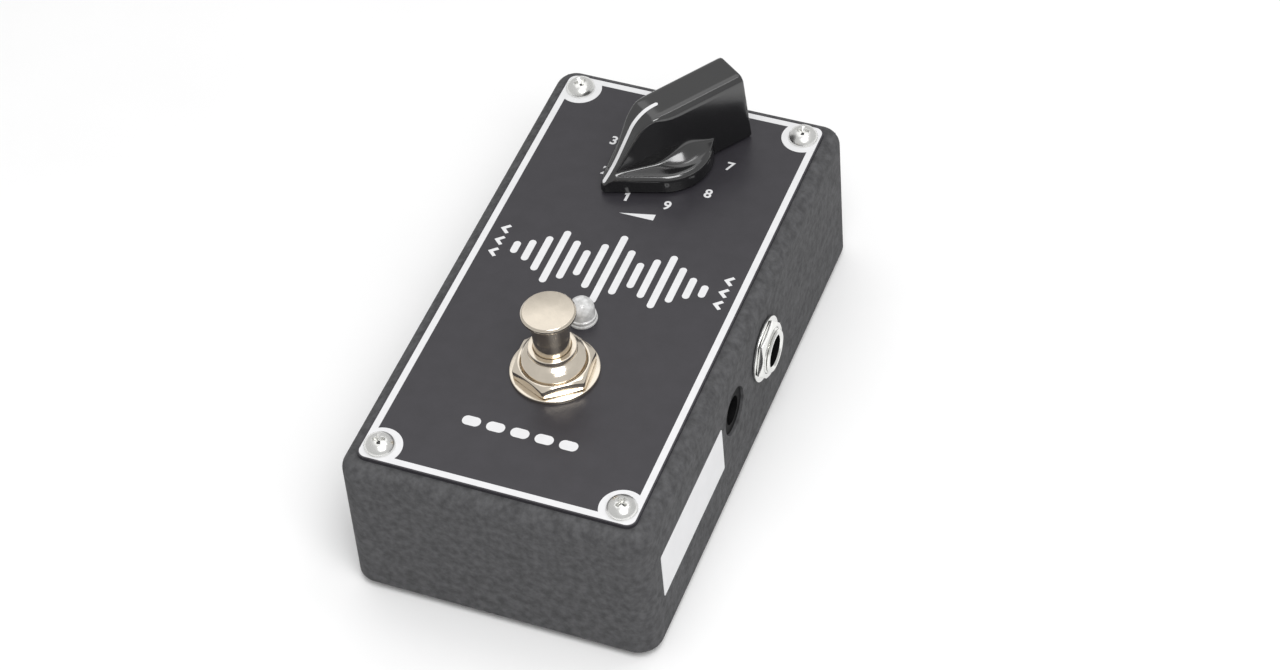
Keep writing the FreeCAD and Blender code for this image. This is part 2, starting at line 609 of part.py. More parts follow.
def make_faceplate():
    body = new_body("faceplate")
    outline = new_sketch(body, "outline", lift="plate_level")
    rounded_rectangle(outline, "plate_width", "plate_length", "plate_corner")
    circle(outline, "0", "dial_y", "pot_thread + hole_gap")
    circle(outline, "0", "switch_y", "switch_thread + hole_gap")
    circle(outline, "0", "lamp_y", "lens_radius + hole_gap")
    for side in (-1, 1):
        for end in (-1, 1):
            circle(outline, f"{side} * screw_x", f"{end} * screw_y", "screw_radius + hole_gap")
    add_pad(body, outline, "plate_thickness")
    return keep(body, "faceplate")


def cross_recess(body, top, turn):
    """Cut a cross recess into a screw head from above."""
    cross = new_sketch(body, "cross", lift=top)
    arm = "recess_length / 2"
    half = "recess_width / 2"
    corners = [(arm, f"-{half}"), (arm, half), (half, half), (half, arm), (f"-{half}", arm), (f"-{half}", half),
               (f"-{arm}", half), (f"-{arm}", f"-{half}"), (f"-{half}", f"-{half}"), (f"-{half}", f"-{arm}"),
               (half, f"-{arm}"), (half, f"-{half}")]
    turned_corners = [(f"({across}) * cos({turn}) - ({along}) * sin({turn})",
                       f"({across}) * sin({turn}) + ({along}) * cos({turn})") for across, along in corners]
    straight_outline(cross, turned_corners)
    add_pocket(body, cross, "recess_depth")


def make_face_screws():
    screws = []
    recess_turns = {(-1, -1): 20, (1, -1): 65, (-1, 1): 40, (1, 1): 10}
    for (side, end), turn in recess_turns.items():
        name = f"face_screw_{'left' if side < 0 else 'right'}_{'front' if end < 0 else 'back'}"
        body = turned(name, [("0", "-screw_depth"), ("screw_radius", "-screw_depth"), ("screw_radius", "0"),
                             ("screw_head", "0"), ("screw_head", "pan_height"), ("0", "pan_height")],
                      (f"{side} * screw_x", f"{end} * screw_y", "face_level"))
        head = value("screw_head")
        top = value("pan_height")
        add_round(body, body.Tip, lambda edge, middle, ends: abs(middle.z - top) < 0.01
                  and abs(math.hypot(middle.x, middle.y) - head) < 0.01, "pan_edge_radius")
        cross_recess(body, "pan_height", turn)
        screws.append(body)
    together("face_screws", screws)


def make_cover_screws():
    screws = []
    for side in (-1, 1):
        for end in (-1, 1):
            name = f"cover_screw_{'left' if side < 0 else 'right'}_{'front' if end < 0 else 'back'}"
            head_height = "(screw_head - screw_radius)"
            body = turned(name, [("0", "0"), ("screw_head - seat_gap", "0"),
                                 ("screw_radius", f"{head_height} - seat_gap"),
                                 ("screw_radius", "cover_thickness + screw_depth"),
                                 ("0", "cover_thickness + screw_depth")],
                          (f"{side} * screw_x", f"{end} * screw_y", "foot_height"))
            screws.append(body)
    together("cover_screws", screws)


def make_rubber_feet():
    feet = []
    for side in (-1, 1):
        for end in (-1, 1):
            name = f"foot_{'left' if side < 0 else 'right'}_{'front' if end < 0 else 'back'}"
            feet.append(turned(name, [
                ("foot_hole", "0"), ("foot_radius - foot_bevel", "0"), ("foot_radius", "foot_bevel"),
                ("foot_radius", "foot_height"), ("foot_hole", "foot_height")],
                (f"{side} * screw_x", f"{end} * screw_y", "0")))
    together("rubber_feet", feet)


# Knob: a teardrop skirt, a hollow bell for the fingers and a grip bar that the slope runs down to the nose

def teardrop(sketch, radius, reach, half):
    """Draw a round outline about the origin that runs out to a blunt nose on the left."""
    round_radius = value(radius)
    nose = FreeCAD.Vector(-value(reach), value(half), 0)
    touch = math.atan2(nose.y, nose.x) - math.acos(round_radius / nose.Length)
    centre = FreeCAD.Vector(0, 0, 0)
    ring = Part.Circle(centre, FreeCAD.Vector(0, 0, 1), round_radius)
    upper = sketch.addGeometry(Part.ArcOfCircle(ring, 0, touch))
    lower = sketch.addGeometry(Part.ArcOfCircle(ring, -touch, 0))
    touch_point = FreeCAD.Vector(round_radius * math.cos(touch), round_radius * math.sin(touch), 0)
    flank = sketch.addGeometry(Part.LineSegment(touch_point, nose))
    blunt = sketch.addGeometry(Part.LineSegment(nose, FreeCAD.Vector(nose.x, -nose.y, 0)))
    back_flank = sketch.addGeometry(Part.LineSegment(FreeCAD.Vector(nose.x, -nose.y, 0),
                                                     FreeCAD.Vector(touch_point.x, -touch_point.y, 0)))
    constrain(sketch, "Coincident", upper, 3, -1, 1)
    constrain(sketch, "Coincident", lower, 3, -1, 1)
    constrain(sketch, "PointOnObject", upper, 1, -1)
    constrain(sketch, "Coincident", lower, 2, upper, 1)
    constrain(sketch, "Radius", upper, rule=radius)
    constrain(sketch, "Tangent", upper, 2, flank, 1)
    constrain(sketch, "Coincident", flank, 2, blunt, 1)
    constrain(sketch, "Coincident", blunt, 2, back_flank, 1)
    constrain(sketch, "Tangent", back_flank, 2, lower, 1)
    hold_point(sketch, blunt, 1, f"-({reach})", half)
    hold_point(sketch, blunt, 2, f"-({reach})", f"-({half})")


def bell_outline(sketch):
    """Draw half of the bell: its foot is inside the skirt and its hollow side is one arc up to the neck."""
    foot = value("skirt_height - skirt_edge_radius")
    low = value("skirt_height")
    high = value("skirt_height + flare_height")
    bend = value("flare_bend")
    rim = FreeCAD.Vector(value("flare_radius"), low, 0)
    neck = FreeCAD.Vector(value("neck_radius"), high, 0)
    chord = rim - neck
    outward = FreeCAD.Vector(-chord.y, chord.x, 0) / chord.Length
    middle = (rim + neck) / 2 + outward * math.sqrt(bend ** 2 - chord.Length ** 2 / 4)
    ring = Part.Circle(middle, FreeCAD.Vector(0, 0, 1), bend)
    neck_angle = math.pi + math.atan2(middle.y - neck.y, middle.x - neck.x)
    rim_angle = math.pi + math.atan2(middle.y - rim.y, middle.x - rim.x)
    side = sketch.addGeometry(Part.ArcOfCircle(ring, neck_angle, rim_angle))
    wall = sketch.addGeometry(Part.LineSegment(rim, FreeCAD.Vector(rim.x, foot, 0)))
    base = sketch.addGeometry(Part.LineSegment(FreeCAD.Vector(0, foot, 0), FreeCAD.Vector(rim.x, foot, 0)))
    above = sketch.addGeometry(Part.LineSegment(neck, FreeCAD.Vector(0, high, 0)))
    middle_line = sketch.addGeometry(Part.LineSegment(FreeCAD.Vector(0, high, 0), FreeCAD.Vector(0, foot, 0)))
    constrain(sketch, "Coincident", side, 2, wall, 1)
    constrain(sketch, "Coincident", wall, 2, base, 2)
    constrain(sketch, "Vertical", wall)
    constrain(sketch, "Horizontal", base)
    constrain(sketch, "Coincident", side, 1, above, 1)
    constrain(sketch, "Coincident", above, 2, middle_line, 1)
    constrain(sketch, "Coincident", middle_line, 2, base, 1)
    constrain(sketch, "Radius", side, rule="flare_bend")
    hold_point(sketch, side, 1, "neck_radius", "skirt_height + flare_height")
    hold_point(sketch, side, 2, "flare_radius", "skirt_height")
    hold_point(sketch, middle_line, 1, "0", "skirt_height + flare_height")
    hold_point(sketch, middle_line, 2, "0", "skirt_height - skirt_edge_radius")


def slope_outline(sketch):
    """Draw what is cut away in front of the pointer: a brow, a straight slope and a toe."""
    top = value("knob_height")
    start = value("brow_start")
    brow = value("brow_radius")
    toe = value("toe_radius")
    angle = math.radians(value("brow_angle"))
    far = value("nose_reach + cut_margin")
    over = value("knob_height + cut_margin")
    brow_centre = FreeCAD.Vector(-start, top - brow, 0)
    brow_end = brow_centre + FreeCAD.Vector(-math.sin(angle), math.cos(angle), 0) * brow
    run = (brow_end.y - value("toe_height")) / math.sin(angle)
    toe_start = brow_end - FreeCAD.Vector(math.cos(angle), math.sin(angle), 0) * run
    toe_centre = toe_start + FreeCAD.Vector(-math.sin(angle), math.cos(angle), 0) * toe
    toe_end_angle = math.acos((-far - toe_centre.x) / toe)
    toe_end = toe_centre + FreeCAD.Vector(math.cos(toe_end_angle), -math.sin(toe_end_angle), 0) * toe
    up = FreeCAD.Vector(0, 0, 1)
    brow_arc = sketch.addGeometry(Part.ArcOfCircle(Part.Circle(brow_centre, up, brow),
                                                   math.pi / 2, math.pi / 2 + angle))
    slope = sketch.addGeometry(Part.LineSegment(brow_end, toe_start))
    toe_arc = sketch.addGeometry(Part.ArcOfCircle(Part.Circle(toe_centre, up, toe),
                                                  -toe_end_angle, angle - math.pi / 2))
    far_top = FreeCAD.Vector(-far, over, 0)
    near_top = FreeCAD.Vector(-start, over, 0)
    left = sketch.addGeometry(Part.LineSegment(toe_end, far_top))
    above = sketch.addGeometry(Part.LineSegment(far_top, near_top))
    right = sketch.addGeometry(Part.LineSegment(near_top, FreeCAD.Vector(-start, top, 0)))
    constrain(sketch, "Tangent", brow_arc, 2, slope, 1)
    constrain(sketch, "Tangent", slope, 2, toe_arc, 2)
    constrain(sketch, "Coincident", toe_arc, 1, left, 1)
    constrain(sketch, "Coincident", left, 2, above, 1)
    constrain(sketch, "Coincident", above, 2, right, 1)
    constrain(sketch, "Coincident", right, 2, brow_arc, 1)
    constrain(sketch, "Vertical", left)
    constrain(sketch, "Horizontal", above)
    hold_point(sketch, above, 1, "-(nose_reach + cut_margin)", "knob_height + cut_margin")
    hold_point(sketch, brow_arc, 1, "-brow_start", "knob_height")
    constrain(sketch, "Vertical", right)
    constrain(sketch, "Vertical", brow_arc, 3, brow_arc, 1)
    constrain(sketch, "Radius", brow_arc, rule="brow_radius")
    constrain(sketch, "Radius", toe_arc, rule="toe_radius")
    constrain(sketch, "Angle", slope, rule="brow_angle - 180")
    constrain(sketch, "DistanceY", -1, 1, slope, 2, rule="toe_height")


def make_gain_knob():
    bar_turn = FreeCAD.Rotation(FreeCAD.Vector(0, 0, 1), 90 - value("pointer_turn"))
    body = new_body("gain_knob", ("0", "dial_y", "knob_level"), bar_turn)
    skirt = new_sketch(body, "skirt")
    teardrop(skirt, "skirt_radius", "nose_reach", "nose_half")
    skirt_pad = add_pad(body, skirt, "skirt_height")
    skirt_top = value("skirt_height")
    add_round(body, skirt_pad, lambda edge, middle, ends: abs(middle.z - skirt_top) < 0.01
              and all(abs(end.z - skirt_top) < 0.01 for end in ends), "skirt_edge_radius")
    bell = new_sketch(body, "bell", "XZ_Plane")
    bell_outline(bell)
    bind(bell, "AttachmentOffset.Base.x", "flare_back")
    flare = body.newObject("PartDesign::Revolution", "gain_knob_flare")
    flare.Profile = bell
    flare.ReferenceAxis = (bell, ["V_Axis"])
    flare.Angle = 360
    document.recompute()
    bar = new_sketch(body, "bar")
    straight_outline(bar, [("bar_back", "-bar_half"), ("bar_back", "bar_half"),
                           ("-bar_nose_start", "bar_half"), ("-nose_reach", "nose_half"),
                           ("-nose_reach", "-nose_half"), ("-bar_nose_start", "-bar_half")])
    add_pad(body, bar, "knob_height", taper="-bar_draft")
    slope = new_sketch(body, "slope", "XZ_Plane")
    slope_outline(slope)
    cut_slope = add_pocket(body, slope, both_ways=True)
    top = value("knob_height")
    add_round(body, cut_slope, lambda edge, middle, ends: edge.Curve.TypeId == "Part::GeomLine"
              and all(abs(end.z - top) < 0.01 for end in ends) and abs(ends[0].y - ends[1].y) < 0.01,
              "bar_bevel_width", kind="Chamfer")
    cavity = new_sketch(body, "cavity")
    circle(cavity, "0", "0", "knob_cavity")
    add_pocket(body, cavity, "insert_level", upward=True)
    seat = new_sketch(body, "insert_seat")
    circle(seat, "0", "0", "insert_radius + thread_gap")
    add_pocket(body, seat, "insert_level + insert_length", upward=True)
    bore = new_sketch(body, "shaft_bore")
    circle(bore, "0", "0", "shaft_radius + thread_gap")
    add_pocket(body, bore, "shaft_top - knob_lift + rest_gap", upward=True)
    grub = new_sketch(body, "grub_hole", "XZ_Plane")
    circle(grub, "0", "insert_level + insert_length / 2", "grub_radius + thread_gap")
    add_pocket(body, grub)
    keep(body, "gain_knob")
    insert = turned("knob_insert",
                    ring_profile("shaft_radius + thread_gap", "insert_radius", "0", "insert_length"),
                    ("0", "dial_y", "knob_level + insert_level"), bar_turn)
    insert_hole = new_sketch(insert, "grub_hole", "XZ_Plane")
    circle(insert_hole, "0", "insert_length / 2", "grub_radius + thread_gap")
    add_pocket(insert, insert_hole)
    keep(insert, "knob_insert")
    across_bar = bar_turn.multiply(FreeCAD.Rotation(FreeCAD.Vector(1, 0, 0), -90))
    screw = rod("knob_set_screw", "grub_radius", "grub_length",
                ("-(shaft_radius + thread_gap) * cos(pointer_turn)",
                 "dial_y + (shaft_radius + thread_gap) * sin(pointer_turn)",
                 "knob_level + insert_level + insert_length / 2"), across_bar)
    keep(screw, "knob_set_screw")


# Dial control under the knob

def make_dial_control():
    at_dial = ("0", "dial_y", "0")
    thread_top = "face_level + pot_thread_top"
    can_top = "pot_level + pot_height"
    can = turned("dial_can", [("0", "pot_level"), ("pot_radius", "pot_level"), ("pot_radius", can_top),
                              ("pot_thread + thread_gap", can_top),
                              ("pot_thread + thread_gap", f"{can_top} - pot_wall"),
                              ("pot_radius - pot_wall", f"{can_top} - pot_wall"),
                              ("pot_radius - pot_wall", "pot_level + pot_wall"), ("0", "pot_level + pot_wall")],
                 at_dial)
    keep(can, "dial_can")
    bushing = turned("dial_bushing", ring_profile("shaft_radius + stem_gap", "pot_thread",
                                                  f"{can_top} - pot_wall", thread_top), at_dial)
    keep(bushing, "dial_bushing")
    washer("dial_washer_inside", "pot_thread + thread_gap", "pot_washer_radius", "washer_thickness",
           ("0", "dial_y", can_top))
    washer("dial_washer", "pot_thread + thread_gap", "pot_washer_radius", "washer_thickness",
           ("0", "dial_y", "face_level"))
    hex_nut("dial_nut", "pot_nut_flats", "pot_nut_height", "pot_thread + thread_gap",
            ("0", "dial_y", "face_level + washer_thickness"))
    track_top = f"{can_top} - pot_wall"
    track = turned("dial_track", ring_profile("shaft_radius + inner_gap", "pot_radius - pot_wall - thread_gap",
                                              f"{track_top} - track_thickness", track_top), at_dial)
    keep(track, "dial_track")
    wiper_top = f"{track_top} - track_thickness - inner_gap"
    wiper = turned("dial_wiper", ring_profile("shaft_radius + thread_gap", "wiper_radius",
                                              f"{wiper_top} - wiper_thickness", wiper_top), at_dial)
    keep(wiper, "dial_wiper")
    shaft = turned("dial_shaft", [("0", "pot_level + pot_wall + inner_gap"),
                                  ("shaft_radius", "pot_level + pot_wall + inner_gap"),
                                  ("shaft_radius", "face_level + shaft_top"), ("0", "face_level + shaft_top")],
                   at_dial)
    top = value("face_level + shaft_top")
    add_round(shaft, shaft.Tip, lambda edge, middle, ends: abs(middle.z - top) < 0.01
              and math.hypot(middle.x, middle.y) > 1, "small_edge_radius", kind="Chamfer")
    keep(shaft, "dial_shaft")
    legs = []
    for number, step in enumerate((-1, 0, 1)):
        across = f"{step} * lug_pitch"
        front = "dial_y - pot_radius + leg_inset"
        legs.append(block(f"dial_leg_{number}", f"{across} - leg_side", f"{across} + leg_side",
                          front, f"{front} + leg_side * 2", "board_level", "pot_level"))
    together("dial_legs", legs)


# Stomp switch

def make_stomp_switch():
    at_switch = ("0", "switch_y", "0")
    case = new_body("switch_case", at_switch)
    outline = new_sketch(case, "outline", lift="switch_floor")
    rounded_rectangle(outline, "switch_side", "switch_side", "small_edge_radius")
    add_pad(case, outline, "switch_case_height")
    well = new_sketch(case, "well", lift="switch_level")
    circle(well, "0", "0", "well_radius")
    add_pocket(case, well, "well_depth")
    keep(case, "switch_case")
    bushing = turned("switch_bushing", [
        ("stem_radius + stem_gap", "switch_level"), ("switch_flange_half", "switch_level"),
        ("switch_flange_half", "switch_level + switch_flange_thickness"),
        ("switch_thread", "switch_level + switch_flange_thickness"),
        ("switch_thread", "face_level + switch_shoulder"),
        ("switch_cone_radius", "face_level + switch_cone_top"),
        ("switch_collar", "face_level + switch_cone_top"),
        ("switch_collar", "face_level + switch_collar_top"),
        ("stem_radius + stem_gap", "face_level + switch_collar_top")], at_switch)
    keep(bushing, "switch_bushing")
    washer("switch_lock_washer", "switch_thread + thread_gap", "switch_nut_flats / 2", "washer_thickness",
           ("0", "switch_y", "roof_level - washer_thickness"))
    hex_nut("switch_inner_nut", "switch_nut_flats", "switch_inner_nut_height", "switch_thread + thread_gap",
            ("0", "switch_y", "roof_level - washer_thickness - switch_inner_nut_height"))
    washer("switch_washer", "switch_thread + thread_gap", "switch_washer_radius", "switch_washer_thickness",
           ("0", "switch_y", "face_level"))
    hex_nut("switch_nut", "switch_nut_flats", "switch_nut_height", "switch_thread + thread_gap",
            ("0", "switch_y", "face_level + switch_washer_thickness"), corner="switch_nut_turn")
    flange_top = "switch_level - rest_gap"
    tail_end = f"{flange_top} - flange_thickness - tail_length"
    plunger = turned("switch_plunger", [
        ("0", tail_end), ("tail_radius", tail_end), ("tail_radius", f"{flange_top} - flange_thickness"),
        ("flange_radius", f"{flange_top} - flange_thickness"), ("flange_radius", flange_top),
        ("stem_radius", flange_top), ("stem_radius", "face_level + stem_straight_top"),
        ("stem_head_radius", "face_level + button_top - button_thickness"),
        ("button_radius - button_bevel_width", "face_level + button_top - button_thickness"),
        ("button_radius", "face_level + button_top - button_thickness + button_bevel_width"),
        ("button_radius", "face_level + button_top - button_bevel_width"),
        ("button_radius - button_bevel_width", "face_level + button_top"), ("0", "face_level + button_top")],
        at_switch)
    keep(plunger, "switch_plunger")
    make_return_spring(f"{flange_top} - flange_thickness")
    make_switch_lugs()


def tangent_arcs(start, start_way, end, end_way):
    """Join two points by two arcs that leave and arrive along unit directions and meet smoothly."""
    chord = end - start
    both = start_way + end_way
    square = both.dot(both) - 4
    half_slope = -chord.dot(both)
    reach = (-half_slope - math.sqrt(half_slope ** 2 - square * chord.dot(chord))) / square
    first_corner = start + start_way * reach
    second_corner = end - end_way * reach
    joint = (first_corner + second_corner) * 0.5
    arcs = []
    for begin, corner, finish in ((start, first_corner, joint), (joint, second_corner, end)):
        middle = (begin + finish) * 0.5
        half_chord = (finish - begin).Length / 2
        height = (corner - middle).Length
        radius = half_chord * reach / height
        rise = radius - math.sqrt(radius ** 2 - half_chord ** 2)
        crest = middle + (corner - middle) * (rise / height)
        arcs.append(Part.Arc(begin, crest, finish).toShape())
    return arcs


def make_return_spring(top_rule):
    """Coil the return spring between the floor of its well and the plunger's flange."""
    turns = 4
    quarters = 4 * turns
    wire = value("spring_wire")
    radius = value("spring_radius")
    low = value("switch_level - well_depth + thread_gap") + wire
    high = value(top_rule) - wire - value("rest_gap")
    pitch = (high - low) / turns
    slope = math.atan2(pitch, 2 * math.pi * radius)
    points = []
    ways = []
    for quarter in range(quarters + 1):
        turn = math.pi / 2 * quarter
        points.append(FreeCAD.Vector(radius * math.cos(turn), radius * math.sin(turn), pitch * quarter / 4))
        ways.append(FreeCAD.Vector(-math.sin(turn) * math.cos(slope), math.cos(turn) * math.cos(slope),
                                   math.sin(slope)))
    route = []
    for quarter in range(quarters):
        route += tangent_arcs(points[quarter], ways[quarter], points[quarter + 1], ways[quarter + 1])
    section = Part.Wire(Part.makeCircle(wire, points[0], ways[0]))
    coil = Part.Wire(route).makePipeShell([section], True, False)
    spring = document.addObject("Part::Feature", "switch_spring")
    spring.Shape = coil
    spring.Placement = FreeCAD.Placement(FreeCAD.Vector(0, value("switch_y"), low), FreeCAD.Rotation())
    length = sum(arc.Length for arc in route)
    expected = length * math.pi * wire ** 2
    per_turn = 24
    samples = []
    for step in range(per_turn * turns + 1):
        turn = 2 * math.pi * step / per_turn
        rise = pitch * step / per_turn
        samples.append(FreeCAD.Vector(radius * math.cos(turn), radius * math.sin(turn), rise))
    least_gap = min((samples[late] - samples[early]).Length for early in range(len(samples))
                    for late in range(early + per_turn // 2, len(samples))) - 2 * wire
    print(f"return spring: {turns} turns, volume {coil.Volume:.2f} of {expected:.2f} mm3, "
          f"least gap between turns {least_gap:.2f} mm")
    keep(spring, "switch_spring")


def make_switch_lugs():
    lugs = []
    board = new_body("switch_board", ("0", "switch_y", "0"))
    outline = new_sketch(board, "outline", lift="switch_floor - switch_board_drop - switch_board_thickness")
    rounded_rectangle(outline, "switch_board_side", "switch_side - 2 * seat_gap", "small_edge_radius")
    for column in (-1, 0, 1):
        for row in (-1, 0, 1):
            across = f"{column} * lug_pitch"
            along = f"{row} * lug_pitch"
            rectangle(outline, f"{across} - lug_width / 2 - hole_gap", f"{across} + lug_width / 2 + hole_gap",
                      f"{along} - lug_thickness / 2 - hole_gap", f"{along} + lug_thickness / 2 + hole_gap")
            lugs.append(block(f"switch_lug_{column + 1}_{row + 1}", f"{across} - lug_width / 2",
                              f"{across} + lug_width / 2", f"switch_y + {along} - lug_thickness / 2",
                              f"switch_y + {along} + lug_thickness / 2",
                              "switch_floor - lug_length", "switch_floor"))
    add_pad(board, outline, "switch_board_thickness")
    keep(board, "switch_board")
    together("switch_lugs", lugs)
    make_board_ribbon()


def make_board_ribbon():
    """Bend the flat ribbon in a hanging loop from the small board to the main board."""
    body = new_body("board_ribbon")
    side = new_sketch(body, "side", "YZ_Plane")
    low = "(switch_floor - switch_board_drop - switch_board_thickness)"
    rear_low = "(board_level - board_thickness)"
    front_y = "(switch_y + switch_side / 2 - ribbon_inset)"
    rear_y = "(board_front + ribbon_inset)"
    floor = f"({low} - ribbon_drop)"
    thick = "ribbon_thickness"
    straight_outline(side, [
        (front_y, low), (front_y, floor), (f"{rear_y} + {thick}", floor), (f"{rear_y} + {thick}", rear_low),
        (rear_y, rear_low), (rear_y, f"{floor} + {thick}"), (f"{front_y} + {thick}", f"{floor} + {thick}"),
        (f"{front_y} + {thick}", low)])
    strip = add_pad(body, side, "ribbon_width", both_ways=True)
    bottom = value(floor)
    thickness = value(thick)
    outer = add_round(body, strip, lambda edge, middle, ends: abs(middle.x) < 0.01
                      and abs(middle.z - bottom) < 0.01, "ribbon_thickness * 1.5")
    add_round(body, outer, lambda edge, middle, ends: abs(middle.x) < 0.01
              and abs(middle.z - bottom - thickness) < 0.01 and edge.Curve.TypeId == "Part::GeomLine"
              and abs(ends[0].x - ends[1].x) > 1, "ribbon_thickness * 0.5")
    keep(body, "board_ribbon")


# Indicator

def make_indicator():
    lens = turned("indicator_lens", [
        ("0", "roof_level"), ("lens_radius", "roof_level"), ("lens_radius", "face_level"),
        ("lens_flange", "face_level"), ("lens_flange", "face_level + lens_flange_thickness"),
        ("lens_radius", "face_level + lens_flange_thickness"), ("lens_radius", "face_level + lens_top"),
        ("0", "face_level + lens_top")], ("0", "lamp_y", "0"))
    top = value("face_level + lens_top")
    rim = value("lens_radius")
    add_round(lens, lens.Tip, lambda edge, middle, ends: abs(middle.z - top) < 0.01
              and abs(math.hypot(middle.x, middle.y) - rim) < 0.01, "lens_radius - 0.05")
    keep(lens, "indicator_lens")
    lamp_floor = "roof_level - lamp_height"
    lamp = turned("indicator_lamp", [("0", lamp_floor), ("lamp_radius", lamp_floor),
                                     ("lamp_radius", "roof_level"), ("0", "roof_level")], ("0", "lamp_y", "0"))
    keep(lamp, "indicator_lamp")
    legs = []
    for label, side in (("left", -1), ("right", 1)):
        middle = f"{side} * lamp_leg_pitch"
        legs.append(block(f"lamp_leg_{label}", f"{middle} - leg_side / 2", f"{middle} + leg_side / 2",
                          "lamp_y - leg_side / 2", "lamp_y + leg_side / 2", "board_level", lamp_floor))
    together("indicator_legs", legs)


# Phone sockets: each is modelled along its own axis, outward from the middle of the housing

def make_phone_socket(name, turn):
    centre = ("0", "jack_y", "jack_level")
    body_end = "jack_clear"
    flange_level = "inner_seat - jack_flange_thickness"
    bushing = turned(f"{name}_bushing", [
        ("jack_bore", flange_level), ("jack_flange", flange_level), ("jack_flange", "inner_seat"),
        ("jack_thread", "inner_seat"), ("jack_thread", "jack_face - jack_bevel"),
        ("jack_thread - jack_bevel", "jack_face"), ("jack_bore + jack_bevel", "jack_face"),
        ("jack_bore", "jack_face - jack_bevel")], centre, turn)
    keep(bushing, f"{name}_bushing")
    housing = new_body(f"{name}_body", centre, turn)
    outline = new_sketch(housing, "outline", lift=body_end)
    rounded_rectangle(outline, "2 * jack_body_half", "jack_body_width", "jack_body_radius")
    circle(outline, "0", "0", "jack_body_bore")
    add_pad(housing, outline, "inner_seat - jack_clear")
    flange_seat = new_sketch(housing, "flange_seat", lift="inner_seat")
    circle(flange_seat, "0", "0", "jack_flange + thread_gap")
    add_pocket(housing, flange_seat, "jack_flange_thickness")
    keep(housing, f"{name}_body")
    side = 1 if turn is outward_right else -1
    washer(f"{name}_washer", "jack_thread + thread_gap", "jack_washer_radius", "washer_thickness",
           (f"{side} * side_seat", "jack_y", "jack_level"), turn)
    hex_nut(f"{name}_nut", "jack_nut_flats", "jack_nut_height", "jack_thread + thread_gap",
            (f"{side} * (side_seat + washer_thickness)", "jack_y", "jack_level"),
            corner="jack_nut_turn", turn=turn)
    contact = new_body(f"{name}_contact", centre, turn)
    profile = new_sketch(contact, "profile", "XZ_Plane")
    outside = "-(jack_body_half - contact_inset)"
    inside = f"({outside} + contact_thickness)"
    tip = f"({body_end} - contact_reach)"
    straight_outline(profile, [
        (outside, body_end), (outside, tip), ("-contact_hook", f"{tip} + contact_rise"),
        ("-contact_hook", f"{tip} + contact_rise + contact_thickness"),
        (inside, f"{tip} + 2 * contact_thickness"), (inside, body_end)])
    add_pad(contact, profile, "contact_width", both_ways=True)
    keep(contact, f"{name}_contact")
    legs = []
    depth = f"({body_end} - contact_thickness)"
    for number, row in enumerate((-1, 1)):
        leg = document.addObject("Part::Box", f"{name}_leg_{number}")
        bind(leg, "Length", "jack_body_half * 2")
        bind(leg, "Width", "leg_side * 3")
        bind(leg, "Height", "contact_thickness")
        middle = f"(jack_y + {row} * (jack_body_width / 2 - leg_side * 3))"
        place(leg, (f"{side} * {depth}", f"{middle} - {side} * leg_side * 1.5",
                    "jack_level + jack_body_half"), turn)
        legs.append(leg)
    together(f"{name}_legs", legs)


# Power socket

def make_power_socket():
    centre = ("0", "power_y", "power_level")
    body_end = "(inner_seat - power_body_length)"
    body = new_body("power_socket_body", centre, outward_right)
    outline = new_sketch(body, "outline", lift=body_end)
    rectangle(outline, "-power_body_top", "power_level - board_level",
              "-power_body_width / 2", "power_body_width / 2")
    add_pad(body, outline, "power_body_length - seat_gap")
    barrel = new_sketch(body, "barrel", lift=body_end)
    circle(barrel, "0", "0", "power_hole - hole_gap * 2")
    add_pad(body, barrel, f"power_face - {body_end}")
    bore = new_sketch(body, "bore", lift="power_face")
    circle(bore, "0", "0", "power_bore")
    add_pocket(body, bore, "power_bore_depth")
    pin_hole = new_sketch(body, "pin_hole", lift="power_face - power_bore_depth")
    circle(pin_hole, "0", "0", "power_pin_root + thread_gap")
    add_pocket(body, pin_hole)
    keep(body, "power_socket_body")
    bore_floor = "(power_face - power_bore_depth)"
    pin_end = f"({bore_floor} + power_pin_length)"
    pin = turned("power_socket_pin", [
        ("0", body_end), ("power_pin_root", body_end), ("power_pin_root", bore_floor),
        ("power_pin", bore_floor), ("power_pin", f"{pin_end} - power_bevel"),
        ("power_pin - power_bevel", pin_end), ("0", pin_end)], centre, outward_right)
    keep(pin, "power_socket_pin")
    tab = block("power_socket_tab", f"{body_end} - contact_thickness", body_end, "power_y - contact_width / 2",
                "power_y + contact_width / 2", "board_level", "power_level + power_tab_top")
    keep(tab, "power_socket_tab")


# Main board and what is soldered to it

def make_main_board():
    body = new_body("main_board")
    outline = new_sketch(body, "outline", lift="board_level - board_thickness")
    rounded_rectangle(outline, "2 * board_half", "board_back - board_front", "board_corner",
                      middle="(board_back + board_front) / 2")
    add_pad(body, outline, "board_thickness")
    keep(body, "main_board")


